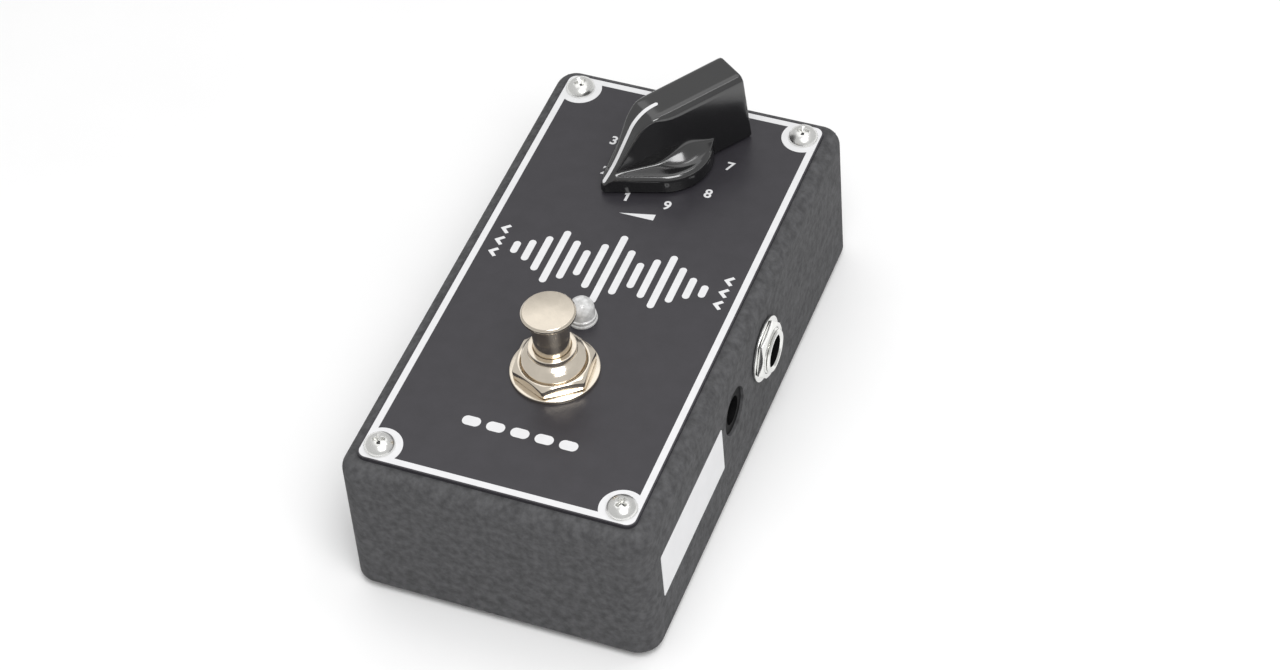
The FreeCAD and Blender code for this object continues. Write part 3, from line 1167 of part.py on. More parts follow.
def make_board_components():
    """Stand the components on the main board in rows that leave the sockets and the dial control free."""
    mirrored = ("-1", "1")
    cans = []
    films = []
    resistors = []
    amplifiers = []
    lying = FreeCAD.Rotation(FreeCAD.Vector(0, 1, 0), 90)
    for side in mirrored:
        for row in ("row_front", "row_back"):
            cans.append(rod(f"can_{len(cans)}", "can_radius", "can_height",
                            (f"{side} * column_outer", row, "board_level")))
        cans.append(rod(f"can_{len(cans)}", "can_radius", "can_height",
                        (f"{side} * column_inner", "row_front", "board_level")))
        for step in ("-1", "1"):
            middle = f"(row_back + {step} * pair_pitch / 2)"
            films.append(block(f"film_{len(films)}", f"{side} * column_inner - film_length / 2",
                               f"{side} * column_inner + film_length / 2", f"{middle} - film_width / 2",
                               f"{middle} + film_width / 2", "board_level", "board_level + film_height"))
            left_end = f"{side} * column_inner - resistor_length / 2"
            resistors.append(rod(f"resistor_{len(resistors)}", "resistor_radius", "resistor_length",
                                 (left_end, f"row_rear + {step} * pair_pitch / 2",
                                  "board_level + resistor_radius"), lying))
        name = f"amplifier_{len(amplifiers)}"
        barrel = rod(f"{name}_barrel", "amplifier_radius", "amplifier_height",
                     (f"{side} * amplifier_x", "row_front", "board_level"))
        waste = block(f"{name}_waste", f"{side} * amplifier_x - amplifier_radius * 2",
                      f"{side} * amplifier_x + amplifier_radius * 2", "row_front - amplifier_radius * 2",
                      "row_front - amplifier_flat", "board_level - cut_margin",
                      "board_level + amplifier_height + cut_margin")
        amplifiers.append(cut(name, barrel, waste))
    together("board_capacitors", cans)
    together("board_film_capacitors", films)
    together("board_resistors", resistors)
    together("board_transistors", amplifiers)


def check_and_write():
    """Stop on any failed feature, then write each sub-part to its own file."""
    document.recompute()
    for item in document.Objects:
        if "Invalid" in item.State or "Error" in item.State:
            raise RuntimeError(f"{item.Label} failed: {item.State}")
    for item in finished:
        if item.Shape.isNull() or not item.Shape.isValid():
            raise RuntimeError(f"{item.Label} has no valid shape")
    os.makedirs("parts", exist_ok=True)
    for item in finished:
        item.Shape.exportStep(f"parts/{item.Label}.step")
    print(f"wrote {len(finished)} sub-parts")


make_enclosure()
make_bottom_cover()
make_cover_screws()
make_rubber_feet()
make_faceplate()
make_face_screws()
make_gain_knob()
make_dial_control()
make_stomp_switch()
make_indicator()
make_phone_socket("input_jack", outward_right)
make_phone_socket("output_jack", outward_left)
make_power_socket()
make_main_board()
make_board_components()
check_and_write()
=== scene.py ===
import json
import math

import bmesh
import bpy
import numpy
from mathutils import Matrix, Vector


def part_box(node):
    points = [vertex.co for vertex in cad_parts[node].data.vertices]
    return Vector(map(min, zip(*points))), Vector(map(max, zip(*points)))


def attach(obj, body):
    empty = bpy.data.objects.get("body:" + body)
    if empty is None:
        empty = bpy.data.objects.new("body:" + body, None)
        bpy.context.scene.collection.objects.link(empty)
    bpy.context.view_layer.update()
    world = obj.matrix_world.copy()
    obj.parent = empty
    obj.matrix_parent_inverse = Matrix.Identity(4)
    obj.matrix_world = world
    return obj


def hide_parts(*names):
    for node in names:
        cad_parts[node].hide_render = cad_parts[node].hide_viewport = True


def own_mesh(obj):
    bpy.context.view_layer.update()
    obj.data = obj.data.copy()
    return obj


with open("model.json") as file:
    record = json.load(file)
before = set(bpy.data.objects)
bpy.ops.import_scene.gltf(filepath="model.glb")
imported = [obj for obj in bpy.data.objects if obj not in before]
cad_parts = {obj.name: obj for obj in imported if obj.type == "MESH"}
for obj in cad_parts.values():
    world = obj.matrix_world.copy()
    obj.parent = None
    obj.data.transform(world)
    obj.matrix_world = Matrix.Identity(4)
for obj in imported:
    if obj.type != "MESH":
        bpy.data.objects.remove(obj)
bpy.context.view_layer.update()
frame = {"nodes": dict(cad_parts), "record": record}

import openvdb
from bpy.props import FloatProperty, FloatVectorProperty, PointerProperty
from mathutils import Matrix, Vector
from mathutils.bvhtree import BVHTree

bl_info = {
    "name": "Effects pedal looks",
    "version": (1, 0, 0),
    "blender": (4, 5, 0),
    "location": "3D View > Sidebar > Pedal",
    "description": "Builds the looks of an effects pedal around its packed CAD model",
    "category": "Object",
}

MM = 0.001

# Places that this file repeats from the CAD model, in millimetres
DIAL_Y = 35.5
SCREW_X = 23.7
SCREW_Y = 49.65
PLATE_HALF_X = 27.3
PLATE_HALF_Y = 53.25
PLATE_TOP = 34.6
STOMP_WASHER_TOP = 35.4
SOCKET_WASHER_FACE = 30.98
COVER_HEADS_Z = 2.01
WALL_FOOT_X = 30.6
WALL_FOOT_Z = 2.0

# Angles from the CAD model, in degrees
POINTER_TURN = 35.0
BOX_DRAFT = 0.7

# The knob in its own directions: ahead to the nose, sideways, and up from its underside
KNOB_BASE = 35.1
KNOB = {
    "height": 15.5, "skirt_radius": 9.6, "skirt_height": 3.9, "skirt_round": 0.75,
    "nose_reach": 14.9, "nose_half": 0.5,
    "bell_back": 2.0, "bell_radius": 7.9, "bell_height": 3.4, "bell_bend": 6.0, "neck_radius": 4.3,
    "bar_half": 5.0, "bar_back": 17.4, "bar_draft": 3.3, "bar_nose_start": 2.0, "bevel": 1.0,
    "brow_start": 1.6, "brow_radius": 7.0, "brow_angle": 58.5, "toe_height": 7.4, "toe_radius": 28.0,
    "cavity_radius": 6.5, "cavity_height": 2.8, "seat_radius": 4.03, "seat_height": 5.8,
    "bore_radius": 3.03, "bore_height": 8.3, "grub_radius": 1.28, "grub_height": 4.3,
}

# The camera: focal length and image width in pixels, its place in metres and its own directions
FOCAL_PIXELS = 3074.37
IMAGE_WIDTH = 1280
SENSOR_WIDTH = 36.0
CAMERA_PLACE = (0.1737, -0.36214, 0.45818)
CAMERA_RIGHT = Vector((0.93227, 0.35687, -0.05930))
CAMERA_UP = Vector((-0.22679, 0.70425, 0.67275))
CAMERA_AHEAD = Vector((-0.28185, 0.61374, -0.73749))

# The studio: strength of the white all round, and the point in metres that the lamps look at
WORLD_STRENGTH = 0.62
LAMPS_AIM = (0.0, 0.0, 0.02)


# Settings that the sidebar shows

class PrintSettings(bpy.types.PropertyGroup):
    """Sizes of the white print on the face plate"""
    ink_height: FloatProperty(
        name="Ink height", description="How far the white ink stands above the plate",
        default=0.00003, min=0.00001, max=0.0002, precision=5, unit="LENGTH")
    border_inset: FloatProperty(
        name="Border inset", description="Bare strip between the plate's edge and the border",
        default=0.0003, min=0.0, max=0.002, precision=4, unit="LENGTH")
    border_width: FloatProperty(
        name="Border width", description="Width of the white border",
        default=0.0013, min=0.0003, max=0.004, precision=4, unit="LENGTH")
    pad_radius: FloatProperty(
        name="Pad radius", description="White pads round the corner screws",
        default=0.0043, min=0.003, max=0.006, precision=4, unit="LENGTH")
    digit_height: FloatProperty(
        name="Digit height", description="Height of the dial numbers",
        default=0.0023, min=0.001, max=0.004, precision=4, unit="LENGTH")
    digit_radius: FloatProperty(
        name="Digit circle", description="Radius of the circle that the dial numbers stand on",
        default=0.0124, min=0.01, max=0.02, precision=4, unit="LENGTH")


class KnobSettings(bpy.types.PropertyGroup):
    """Fineness and edges of the knob, and its line"""
    cell: FloatProperty(
        name="Surface cell", description="Cell size of the knob's smooth surface",
        default=0.00018, min=0.00015, max=0.001, precision=5, unit="LENGTH")
    edge_round: FloatProperty(
        name="Edge rounding", description="How far the moulded edges are rounded",
        default=0.0005, min=0.0001, max=0.002, precision=4, unit="LENGTH")
    line_width: FloatProperty(
        name="Line width", description="Width of the white pointer line",
        default=0.00083, min=0.0003, max=0.003, precision=5, unit="LENGTH")


class PaintSettings(bpy.types.PropertyGroup):
    """Colours of the finishes that show"""
    coat: FloatVectorProperty(
        name="Powder coat", description="Colour of the housing's textured coat",
        default=(0.079, 0.079, 0.082), min=0.0, max=1.0, subtype="COLOR")
    plate: FloatVectorProperty(
        name="Plate", description="Colour of the face plate",
        default=(0.031, 0.029, 0.0345), min=0.0, max=1.0, subtype="COLOR")
    knob: FloatVectorProperty(
        name="Knob", description="Colour of the knob's plastic",
        default=(0.006, 0.006, 0.0065), min=0.0, max=1.0, subtype="COLOR")
    nickel: FloatVectorProperty(
        name="Nickel", description="Colour of the stomp switch's plated metal",
        default=(0.72, 0.65, 0.55), min=0.0, max=1.0, subtype="COLOR")
    bright: FloatVectorProperty(
        name="Bright nickel", description="Colour of the phone sockets and the corner screws",
        default=(0.84, 0.84, 0.82), min=0.0, max=1.0, subtype="COLOR")
    ink: FloatVectorProperty(
        name="Ink", description="Colour of the white print",
        default=(0.74, 0.74, 0.75), min=0.0, max=1.0, subtype="COLOR")


class PedalSettings(bpy.types.PropertyGroup):
    """All settings of the pedal's looks"""
    print_work: PointerProperty(
        type=PrintSettings, name="Print", description="White print on the face plate")
    knob: PointerProperty(
        type=KnobSettings, name="Knob", description="Surface of the pointer knob and its line")
    paint: PointerProperty(
        type=PaintSettings, name="Paint", description="Colours of the finishes")


# Mesh helpers

def show(data, name):
    """Put a mesh, curve, lamp or camera into the scene as an object at the origin."""
    item = bpy.data.objects.new(name, data)
    bpy.context.scene.collection.objects.link(item)
    return item


def mesh_from(name, vertices, faces):
    """Make a mesh from corners in metres and the faces between them."""
    mesh = bpy.data.meshes.new(name)
    mesh.from_pydata([tuple(vertex) for vertex in vertices], [], faces)
    mesh.update()
    return mesh


def tidy_mesh(mesh, crease=35.0, merge=0.0):
    """Turn the faces outwards and shade them smooth, apart from edges sharper than the crease angle."""
    work = bmesh.new()
    work.from_mesh(mesh)
    if merge > 0:
        bmesh.ops.remove_doubles(work, verts=work.verts, dist=merge)
    bmesh.ops.recalc_face_normals(work, faces=work.faces)
    for face in work.faces:
        face.smooth = True
    for edge in work.edges:
        edge.smooth = len(edge.link_faces) == 2 and edge.calc_face_angle(0.0) < math.radians(crease)
    work.to_mesh(mesh)
    work.free()
    mesh.update()


def settle(item):
    """Make the object's modifiers part of a plain mesh."""
    depsgraph = bpy.context.evaluated_depsgraph_get()
    mesh = bpy.data.meshes.new_from_object(item.evaluated_get(depsgraph))
    item.modifiers.clear()
    item.data = mesh


def lathe(name, rings, segments=96, closed=False):
    """Turn rings into a closed mesh.

    A ring is (radius, height), or a function of the angle that gives both. A closed section runs on
    from the last ring to the first; otherwise the ends are capped.
    """
    vertices = []
    for ring in rings:
        for step in range(segments):
            angle = 2 * math.pi * step / segments
            radius, height = ring(angle) if callable(ring) else ring
            vertices.append((radius * math.cos(angle) * MM, radius * math.sin(angle) * MM, height * MM))
    faces = []
    count = len(rings)
    for ring in range(count if closed else count - 1):
        low = ring * segments
        high = (ring + 1) % count * segments
        for step in range(segments):
            after = (step + 1) % segments
            faces.append((low + step, low + after, high + after, high + step))
    if not closed:
        faces.append(tuple(range(segments)))
        faces.append(tuple(range((count - 1) * segments, count * segments)))
    mesh = mesh_from(name, vertices, faces)
    tidy_mesh(mesh)
    return mesh


def rounded(points, radius, steps=4):
    """Round the corners of a lathe section.

    Each corner is (radius, height) or (radius, height, own rounding). The first and the last are
    neighbours, so the ends of an open section need a rounding of 0.
    """
    result = []
    count = len(points)
    for index, point in enumerate(points):
        here = Vector(point[:2])
        size = point[2] if len(point) > 2 else radius
        before = Vector(points[index - 1][:2]) - here
        after = Vector(points[(index + 1) % count][:2]) - here
        if size <= 0:
            result.append((here.x, here.y))
            continue
        half = before.angle(after) / 2
        reach = min(size / math.tan(half), before.length * 0.45, after.length * 0.45)
        start = here + before.normalized() * reach
        end = here + after.normalized() * reach
        for step in range(steps + 1):
            share = step / steps
            bend = start * (1 - share) ** 2 + here * 2 * share * (1 - share) + end * share ** 2
            result.append((bend.x, bend.y))
    return result


def nut_mesh(name, flats, height, bore, turn):
    """A hexagon nut with one corner at the turn. Cones cut its corners, and its hole has a bevel."""
    flat_edge = flats / 2 - 0.25
    slope = math.tan(math.radians(30))
    low_cone, high_cone = -0.35, 1.0

    def cone(share, base, way):
        """A ring that lies between the flats' edge, at share 0, and the hexagon, at share 1."""
        def ring(angle):
            part = (angle - math.radians(turn)) % (math.pi / 3) - math.pi / 6
            reach = flat_edge + (flats / 2 / math.cos(part) - flat_edge) * share
            return reach, base - way * (reach - flat_edge) * slope
        return ring

    mouth, bevel = bore + 0.35, bore + 0.12
    rings = [(bore, 0.35), (bevel, 0.12), (mouth, 0.0), (flat_edge - 0.1, 0.0)]
    rings += [cone(share, 0.0, low_cone) for share in (0.0, 0.5, 0.97)]
    rings += [cone(1.0, 0.06, low_cone), cone(1.0, height - 0.06, high_cone)]
    rings += [cone(share, height, high_cone) for share in (0.97, 0.5, 0.0)]
    rings += [(flat_edge - 0.1, height), (mouth, height), (bevel, height - 0.12), (bore, height - 0.35)]
    return lathe(name, rings, 144, closed=True)


def threaded(radius, low, high, pitch, depth):
    """Rings of a threaded stretch, as grooves side by side."""
    rings = []
    level = low
    while level + pitch <= high + 1e-6:
        rings += [(radius - depth, level), (radius - depth * 0.15, level + pitch * 0.42),
                  (radius, level + pitch * 0.5), (radius - depth * 0.15, level + pitch * 0.58)]
        level += pitch
    rings.append((radius - depth, level))
    return rings


def soften(item, width, segments, angle):
    """Give the object a bevel on the edges that are sharper than the angle."""
    soft = item.modifiers.new("edges", "BEVEL")
    soft.width = width
    soft.segments = segments
    soft.limit_method = "ANGLE"
    soft.angle_limit = math.radians(angle)
    return soft


def dressed_copy(node, name, bevel):
    """Copy a CAD node's mesh, clean it and soften its sharp edges."""
    crease = 30.0
    mesh = frame["nodes"][node].data.copy()
    mesh.name = name
    mesh.materials.clear()
    work = bmesh.new()
    work.from_mesh(mesh)
    bmesh.ops.remove_doubles(work, verts=work.verts, dist=1e-6)
    bmesh.ops.dissolve_limit(work, angle_limit=math.radians(0.4), verts=work.verts, edges=work.edges)
    work.to_mesh(mesh)
    work.free()
    tidy_mesh(mesh, crease)
    item = show(mesh, name)
    if bevel > 0:
        soft = soften(item, bevel, 3, crease)
        soft.harden_normals = True
        soft.miter_outer = "MITER_ARC"
        settle(item)
    return item


def upright(x, y, z=0.0, turn=0.0):
    """A place in millimetres, turned about the upright axis by degrees."""
    return Matrix.Translation((x * MM, y * MM, z * MM)) @ Matrix.Rotation(math.radians(turn), 4, "Z")


def along_x(side, x, y, z):
    """A place on a side wall, for something that stands along Z and is to point outwards."""
    outward = Matrix.Rotation(math.radians(90 * side), 4, "Y")
    return Matrix.Translation((x * MM, y * MM, z * MM)) @ outward


def middle_of(node):
    """The middle of a CAD node's box, in millimetres."""
    low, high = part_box(node)
    return (low + high) / 2 / MM


def add_piece(shape, name, body, finish, nodes=()):
    """Make a finished mesh or object a piece that rides on a body and stands for the named nodes."""
    item = shape if isinstance(shape, bpy.types.Object) else show(shape, name)
    item.data.materials.clear()
    item.data.materials.append(bpy.data.materials[finish])
    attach(item, body)
    if nodes:
        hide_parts(*nodes)
    return item


def second_finish(item, finish, wanted):
    """Give another finish to the faces whose middle, in millimetres, is wanted."""
    item.data.materials.append(bpy.data.materials[finish])
    for face in item.data.polygons:
        if wanted(face.center / MM):
            face.material_index = 1


def merged(name, meshes):
    """Join meshes into one."""
    work = bmesh.new()
    for mesh in meshes:
        work.from_mesh(mesh)
    result = bpy.data.meshes.new(name)
    work.to_mesh(result)
    work.free()
    return result


# Distance fields: positive outside a solid, negative inside

def join(one, other, soft):
    """Both solids together, with the valley between them filled softly."""
    near = numpy.maximum(soft - abs(one - other), 0.0) / soft
    return numpy.minimum(one, other) - near ** 2 * soft / 4


def overlap(one, other, soft):
    """What both solids share, with its edge rounded softly."""
    return -join(-one, -other, soft)


# Flat shapes, as lists of points in millimetres

def arc_points(x, y, radius, start, end):
    """Points about 4 degrees apart on an arc from one angle to another."""
    count = max(2, int(abs(end - start) / 4.0) + 1)
    angles = [math.radians(start + (end - start) * index / (count - 1)) for index in range(count)]
    return [(x + radius * math.cos(angle), y + radius * math.sin(angle)) for angle in angles]


def rounded_box(left, right, low, high, radius):
    return (arc_points(right - radius, low + radius, radius, -90, 0)
            + arc_points(right - radius, high - radius, radius, 0, 90)
            + arc_points(left + radius, high - radius, radius, 90, 180)
            + arc_points(left + radius, low + radius, radius, 180, 270))


def flat_mesh(name, outlines, thickness):
    """Fill outlines, with holes where they lie inside each other, and give them a thickness in metres."""
    curve = bpy.data.curves.new(name, "CURVE")
    curve.dimensions = "2D"
    curve.fill_mode = "BOTH"
    curve.extrude = thickness / 2
    for outline in outlines:
        spline = curve.splines.new("POLY")
        spline.points.add(len(outline) - 1)
        for point, (x, y) in zip(spline.points, outline):
            point.co = (x * MM, y * MM, 0.0, 1.0)
        spline.use_cyclic_u = True
    return mesh_of_curve(curve, name)


def text_mesh(name, words, height, thickness):
    """Centre words set in Blender's own plain letters, made a little bolder. All lengths are in metres."""
    tall_share, bolder = 0.73, 0.03
    curve = bpy.data.curves.new(name, "FONT")
    curve.body = words
    curve.align_x = "CENTER"
    curve.align_y = "CENTER"
    curve.size = height / tall_share
    curve.offset = height * bolder
    curve.extrude = thickness / 2
    return mesh_of_curve(curve, name)


def mesh_of_curve(curve, name):
    """Turn a curve or words into a mesh."""
    holder = show(curve, name)
    bpy.context.view_layer.update()
    depsgraph = bpy.context.evaluated_depsgraph_get()
    mesh = bpy.data.meshes.new_from_object(holder.evaluated_get(depsgraph))
    bpy.data.objects.remove(holder)
    bpy.data.curves.remove(curve)
    mesh.name = name
    tidy_mesh(mesh, crease=30.0, merge=1e-7)
    return mesh


# Node helpers

def new_node(tree, kind, values=None, **settings):
    """Add a node, with values for its sockets and settings of its own."""
    node = tree.nodes.new(kind)
    for label, given in settings.items():
        setattr(node, label, given)
    for label, given in (values or {}).items():
        node.inputs[label].default_value = given
    return node


def link(tree, *rows):
    """Join sockets. Each row is a node, its output, another node and its input."""
    for source, output, target, socket in rows:
        tree.links.new(source.outputs[output], target.inputs[socket])


def new_group(name, tree_kind, inputs, outputs):
    """Start a node group with named sockets, and give it with its input and output nodes."""
    group = bpy.data.node_groups.new(name, tree_kind)
    for label, kind, *default in inputs:
        socket = group.interface.new_socket(label, in_out="INPUT", socket_type=f"NodeSocket{kind}")
        if default:
            socket.default_value = default[0]
    for label, kind in outputs:
        group.interface.new_socket(label, in_out="OUTPUT", socket_type=f"NodeSocket{kind}")
    return group, group.nodes.new("NodeGroupInput"), group.nodes.new("NodeGroupOutput")


# Repeats by Geometry Nodes

def repeat_group():
    """A node group that sets one piece on every point, turned by the point's own turn."""
    known = bpy.data.node_groups.get("repeat_piece")
    if known:
        return known
    group, given, result = new_group(
        "repeat_piece", "GeometryNodeTree",
        [("Points", "Geometry"), ("Piece", "Object"), ("Finish", "Material")], [("Pieces", "Geometry")])
    source = new_node(group, "GeometryNodeObjectInfo")
    turn = new_node(group, "GeometryNodeInputNamedAttribute", {"Name": "turn"}, data_type="FLOAT_VECTOR")
    rotation = new_node(group, "FunctionNodeEulerToRotation")
    instances = new_node(group, "GeometryNodeInstanceOnPoints")
    real = new_node(group, "GeometryNodeRealizeInstances")
    coloured = new_node(group, "GeometryNodeSetMaterial")
    link(group,
         (given, "Points", instances, "Points"),
         (given, "Piece", source, "Object"),
         (source, "Geometry", instances, "Instance"),
         (turn, "Attribute", rotation, 0),
         (rotation, 0, instances, "Rotation"),
         (instances, "Instances", real, "Geometry"),
         (real, "Geometry", coloured, "Geometry"),
         (given, "Finish", coloured, "Material"),
         (coloured, "Geometry", result, "Pieces"))
    return group


def repeated(name, mesh, places, finish):
    """Set copies of a mesh at places, each (x, y, z, turn in degrees), and make them one plain mesh."""
    source = show(mesh, name + "_source")
    points = bpy.data.meshes.new(name)
    points.from_pydata([(x * MM, y * MM, z * MM) for x, y, z, turn in places], [], [])
    turns = points.attributes.new("turn", "FLOAT_VECTOR", "POINT")
    for point, (x, y, z, turn) in zip(turns.data, places):
        point.vector = (0.0, 0.0, math.radians(turn))
    item = show(points, name)
    copies = item.modifiers.new("copies", "NODES")
    copies.node_group = repeat_group()
    sockets = {socket.name: socket.identifier for socket in copies.node_group.interface.items_tree
               if socket.in_out == "INPUT"}
    copies[sockets["Piece"]] = source
    copies[sockets["Finish"]] = bpy.data.materials[finish]
    settle(item)
    bpy.data.objects.remove(source)
    return item


# Shader groups

def noise(group, source, output, values):
    """Add noise on Object coordinates. Its scale comes from the source's output."""
    place = new_node(group, "ShaderNodeTexCoord")
    texture = new_node(group, "ShaderNodeTexNoise", values)
    link(group, (place, "Object", texture, "Vector"), (source, output, texture, "Scale"))
    return texture


def make_grain_group():
    """Coarse and fine bumps of a powder coat or a moulded surface."""
    group, given, result = new_group(
        "grain", "ShaderNodeTree",
        [("Scale", "Float", 900.0), ("Depth", "Float", 0.00003), ("Fine share", "Float", 0.4)],
        [("Normal", "Vector")])
    coarse = noise(group, given, "Scale", {"Detail": 2.0, "Roughness": 0.55})
    finer_scale = new_node(group, "ShaderNodeMath", {1: 3.7}, operation="MULTIPLY")
    fine = noise(group, finer_scale, 0, {"Detail": 1.0})
    blend = new_node(group, "ShaderNodeMix", data_type="FLOAT")
    bump = new_node(group, "ShaderNodeBump", {"Strength": 1.0})
    link(group,
         (given, "Scale", finer_scale, 0),
         (given, "Fine share", blend, 0),
         (coarse, "Fac", blend, 2),
         (fine, "Fac", blend, 3),
         (blend, 0, bump, "Height"),
         (given, "Depth", bump, "Distance"),
         (bump, "Normal", result, "Normal"))


def make_mottle_group():
    """Two shades of one colour in soft patches."""
    group, given, result = new_group(
        "mottle", "ShaderNodeTree",
        [("Dark", "Color", (0.1, 0.1, 0.1, 1.0)), ("Light", "Color", (0.2, 0.2, 0.2, 1.0)),
         ("Scale", "Float", 500.0)],
        [("Colour", "Color")])
    patches = noise(group, given, "Scale", {"Detail": 3.0, "Roughness": 0.6})
    spread = new_node(group, "ShaderNodeMapRange", {"From Min": 0.32, "From Max": 0.68})
    mix = new_node(group, "ShaderNodeMix", data_type="RGBA")
    link(group,
         (patches, "Fac", spread, "Value"),
         (spread, "Result", mix, 0),
         (given, "Dark", mix, 6),
         (given, "Light", mix, 7),
         (mix, 2, result, "Colour"))


def make_smudge_group():
    """Roughness that wanders between two values, as on a handled surface."""
    group, given, result = new_group(
        "smudge", "ShaderNodeTree",
        [("Low", "Float", 0.2), ("High", "Float", 0.3), ("Scale", "Float", 90.0)],
        [("Roughness", "Float")])
    patches = noise(group, given, "Scale", {"Detail": 4.0, "Distortion": 0.4})
    spread = new_node(group, "ShaderNodeMapRange", {"From Min": 0.3, "From Max": 0.7})
    link(group,
         (patches, "Fac", spread, "Value"),
         (given, "Low", spread, "To Min"),
         (given, "High", spread, "To Max"),
         (spread, "Result", result, "Roughness"))


def make_turning_group():
    """Faint tool marks, close together along the axes where the scale is high."""
    group, given, result = new_group(
        "turning_marks", "ShaderNodeTree",
        [("Scale", "Vector", (60.0, 60.0, 4000.0)), ("Depth", "Float", 0.000004)],
        [("Normal", "Vector")])
    place = new_node(group, "ShaderNodeTexCoord")
    stretch = new_node(group, "ShaderNodeVectorMath", operation="MULTIPLY")
    streaks = new_node(group, "ShaderNodeTexNoise", {"Scale": 1.0, "Detail": 2.0})
    bump = new_node(group, "ShaderNodeBump", {"Strength": 0.6})
    link(group,
         (place, "Object", stretch, 0),
         (given, "Scale", stretch, 1),
         (stretch, 0, streaks, "Vector"),
         (streaks, "Fac", bump, "Height"),
         (given, "Depth", bump, "Distance"),
         (bump, "Normal", result, "Normal"))


def group_node(tree, name, values):
    """Place a shader group in a material with its own values."""
    return new_node(tree, "ShaderNodeGroup", values, node_tree=bpy.data.node_groups[name])


def shade(colour, factor):
    """The colour made darker or lighter, with its alpha at 1."""
    return tuple(min(1.0, channel * factor) for channel in colour[:3]) + (1.0,)


def new_finish(name, shades, patch_scale, roughness, smudge_scale, relief, shader_values):
    """Make a material with mottled colour, smudged gloss and a relief.

    The relief is a shader group's name and its values. The shader's own values are the same all over.
    """
    plain = bpy.data.materials.get(name)
    if plain:
        plain.name = f"plain_{name}"
    finish = bpy.data.materials.new(name)
    finish.use_nodes = True
    tree = finish.node_tree
    shader = tree.nodes["Principled BSDF"]
    for label, given in shader_values.items():
        shader.inputs[label].default_value = given
    mottle = group_node(tree, "mottle", {"Dark": shades[0], "Light": shades[1], "Scale": patch_scale})
    smudge = group_node(tree, "smudge", {"Low": roughness[0], "High": roughness[1], "Scale": smudge_scale})
    marks = group_node(tree, *relief)
    link(tree,
         (mottle, "Colour", shader, "Base Color"),
         (smudge, "Roughness", shader, "Roughness"),
         (marks, "Normal", shader, "Normal"))


def textured_finish(name, colour, spread, patch_scale, roughness, grain_scale, grain_depth, values=None):
    """A mottled, slightly bumpy material: paint, plastic, rubber or board."""
    new_finish(name, (shade(colour, 1 - spread), shade(colour, 1 + spread)), patch_scale, roughness,
               patch_scale / 4, ("grain", {"Scale": grain_scale, "Depth": grain_depth}), values or {})


def metal_finish(name, colour, roughness, marks_scale, marks_depth):
    """A metal with faint tool marks and a smudged gloss."""
    patch_scale, smudge_scale = 260.0, 240.0
    new_finish(name, (shade(colour, 0.93), shade(colour, 1.04)), patch_scale, roughness, smudge_scale,
               ("turning_marks", {"Scale": marks_scale, "Depth": marks_depth}), {"Metallic": 1.0})


# Finishes of every CAD node

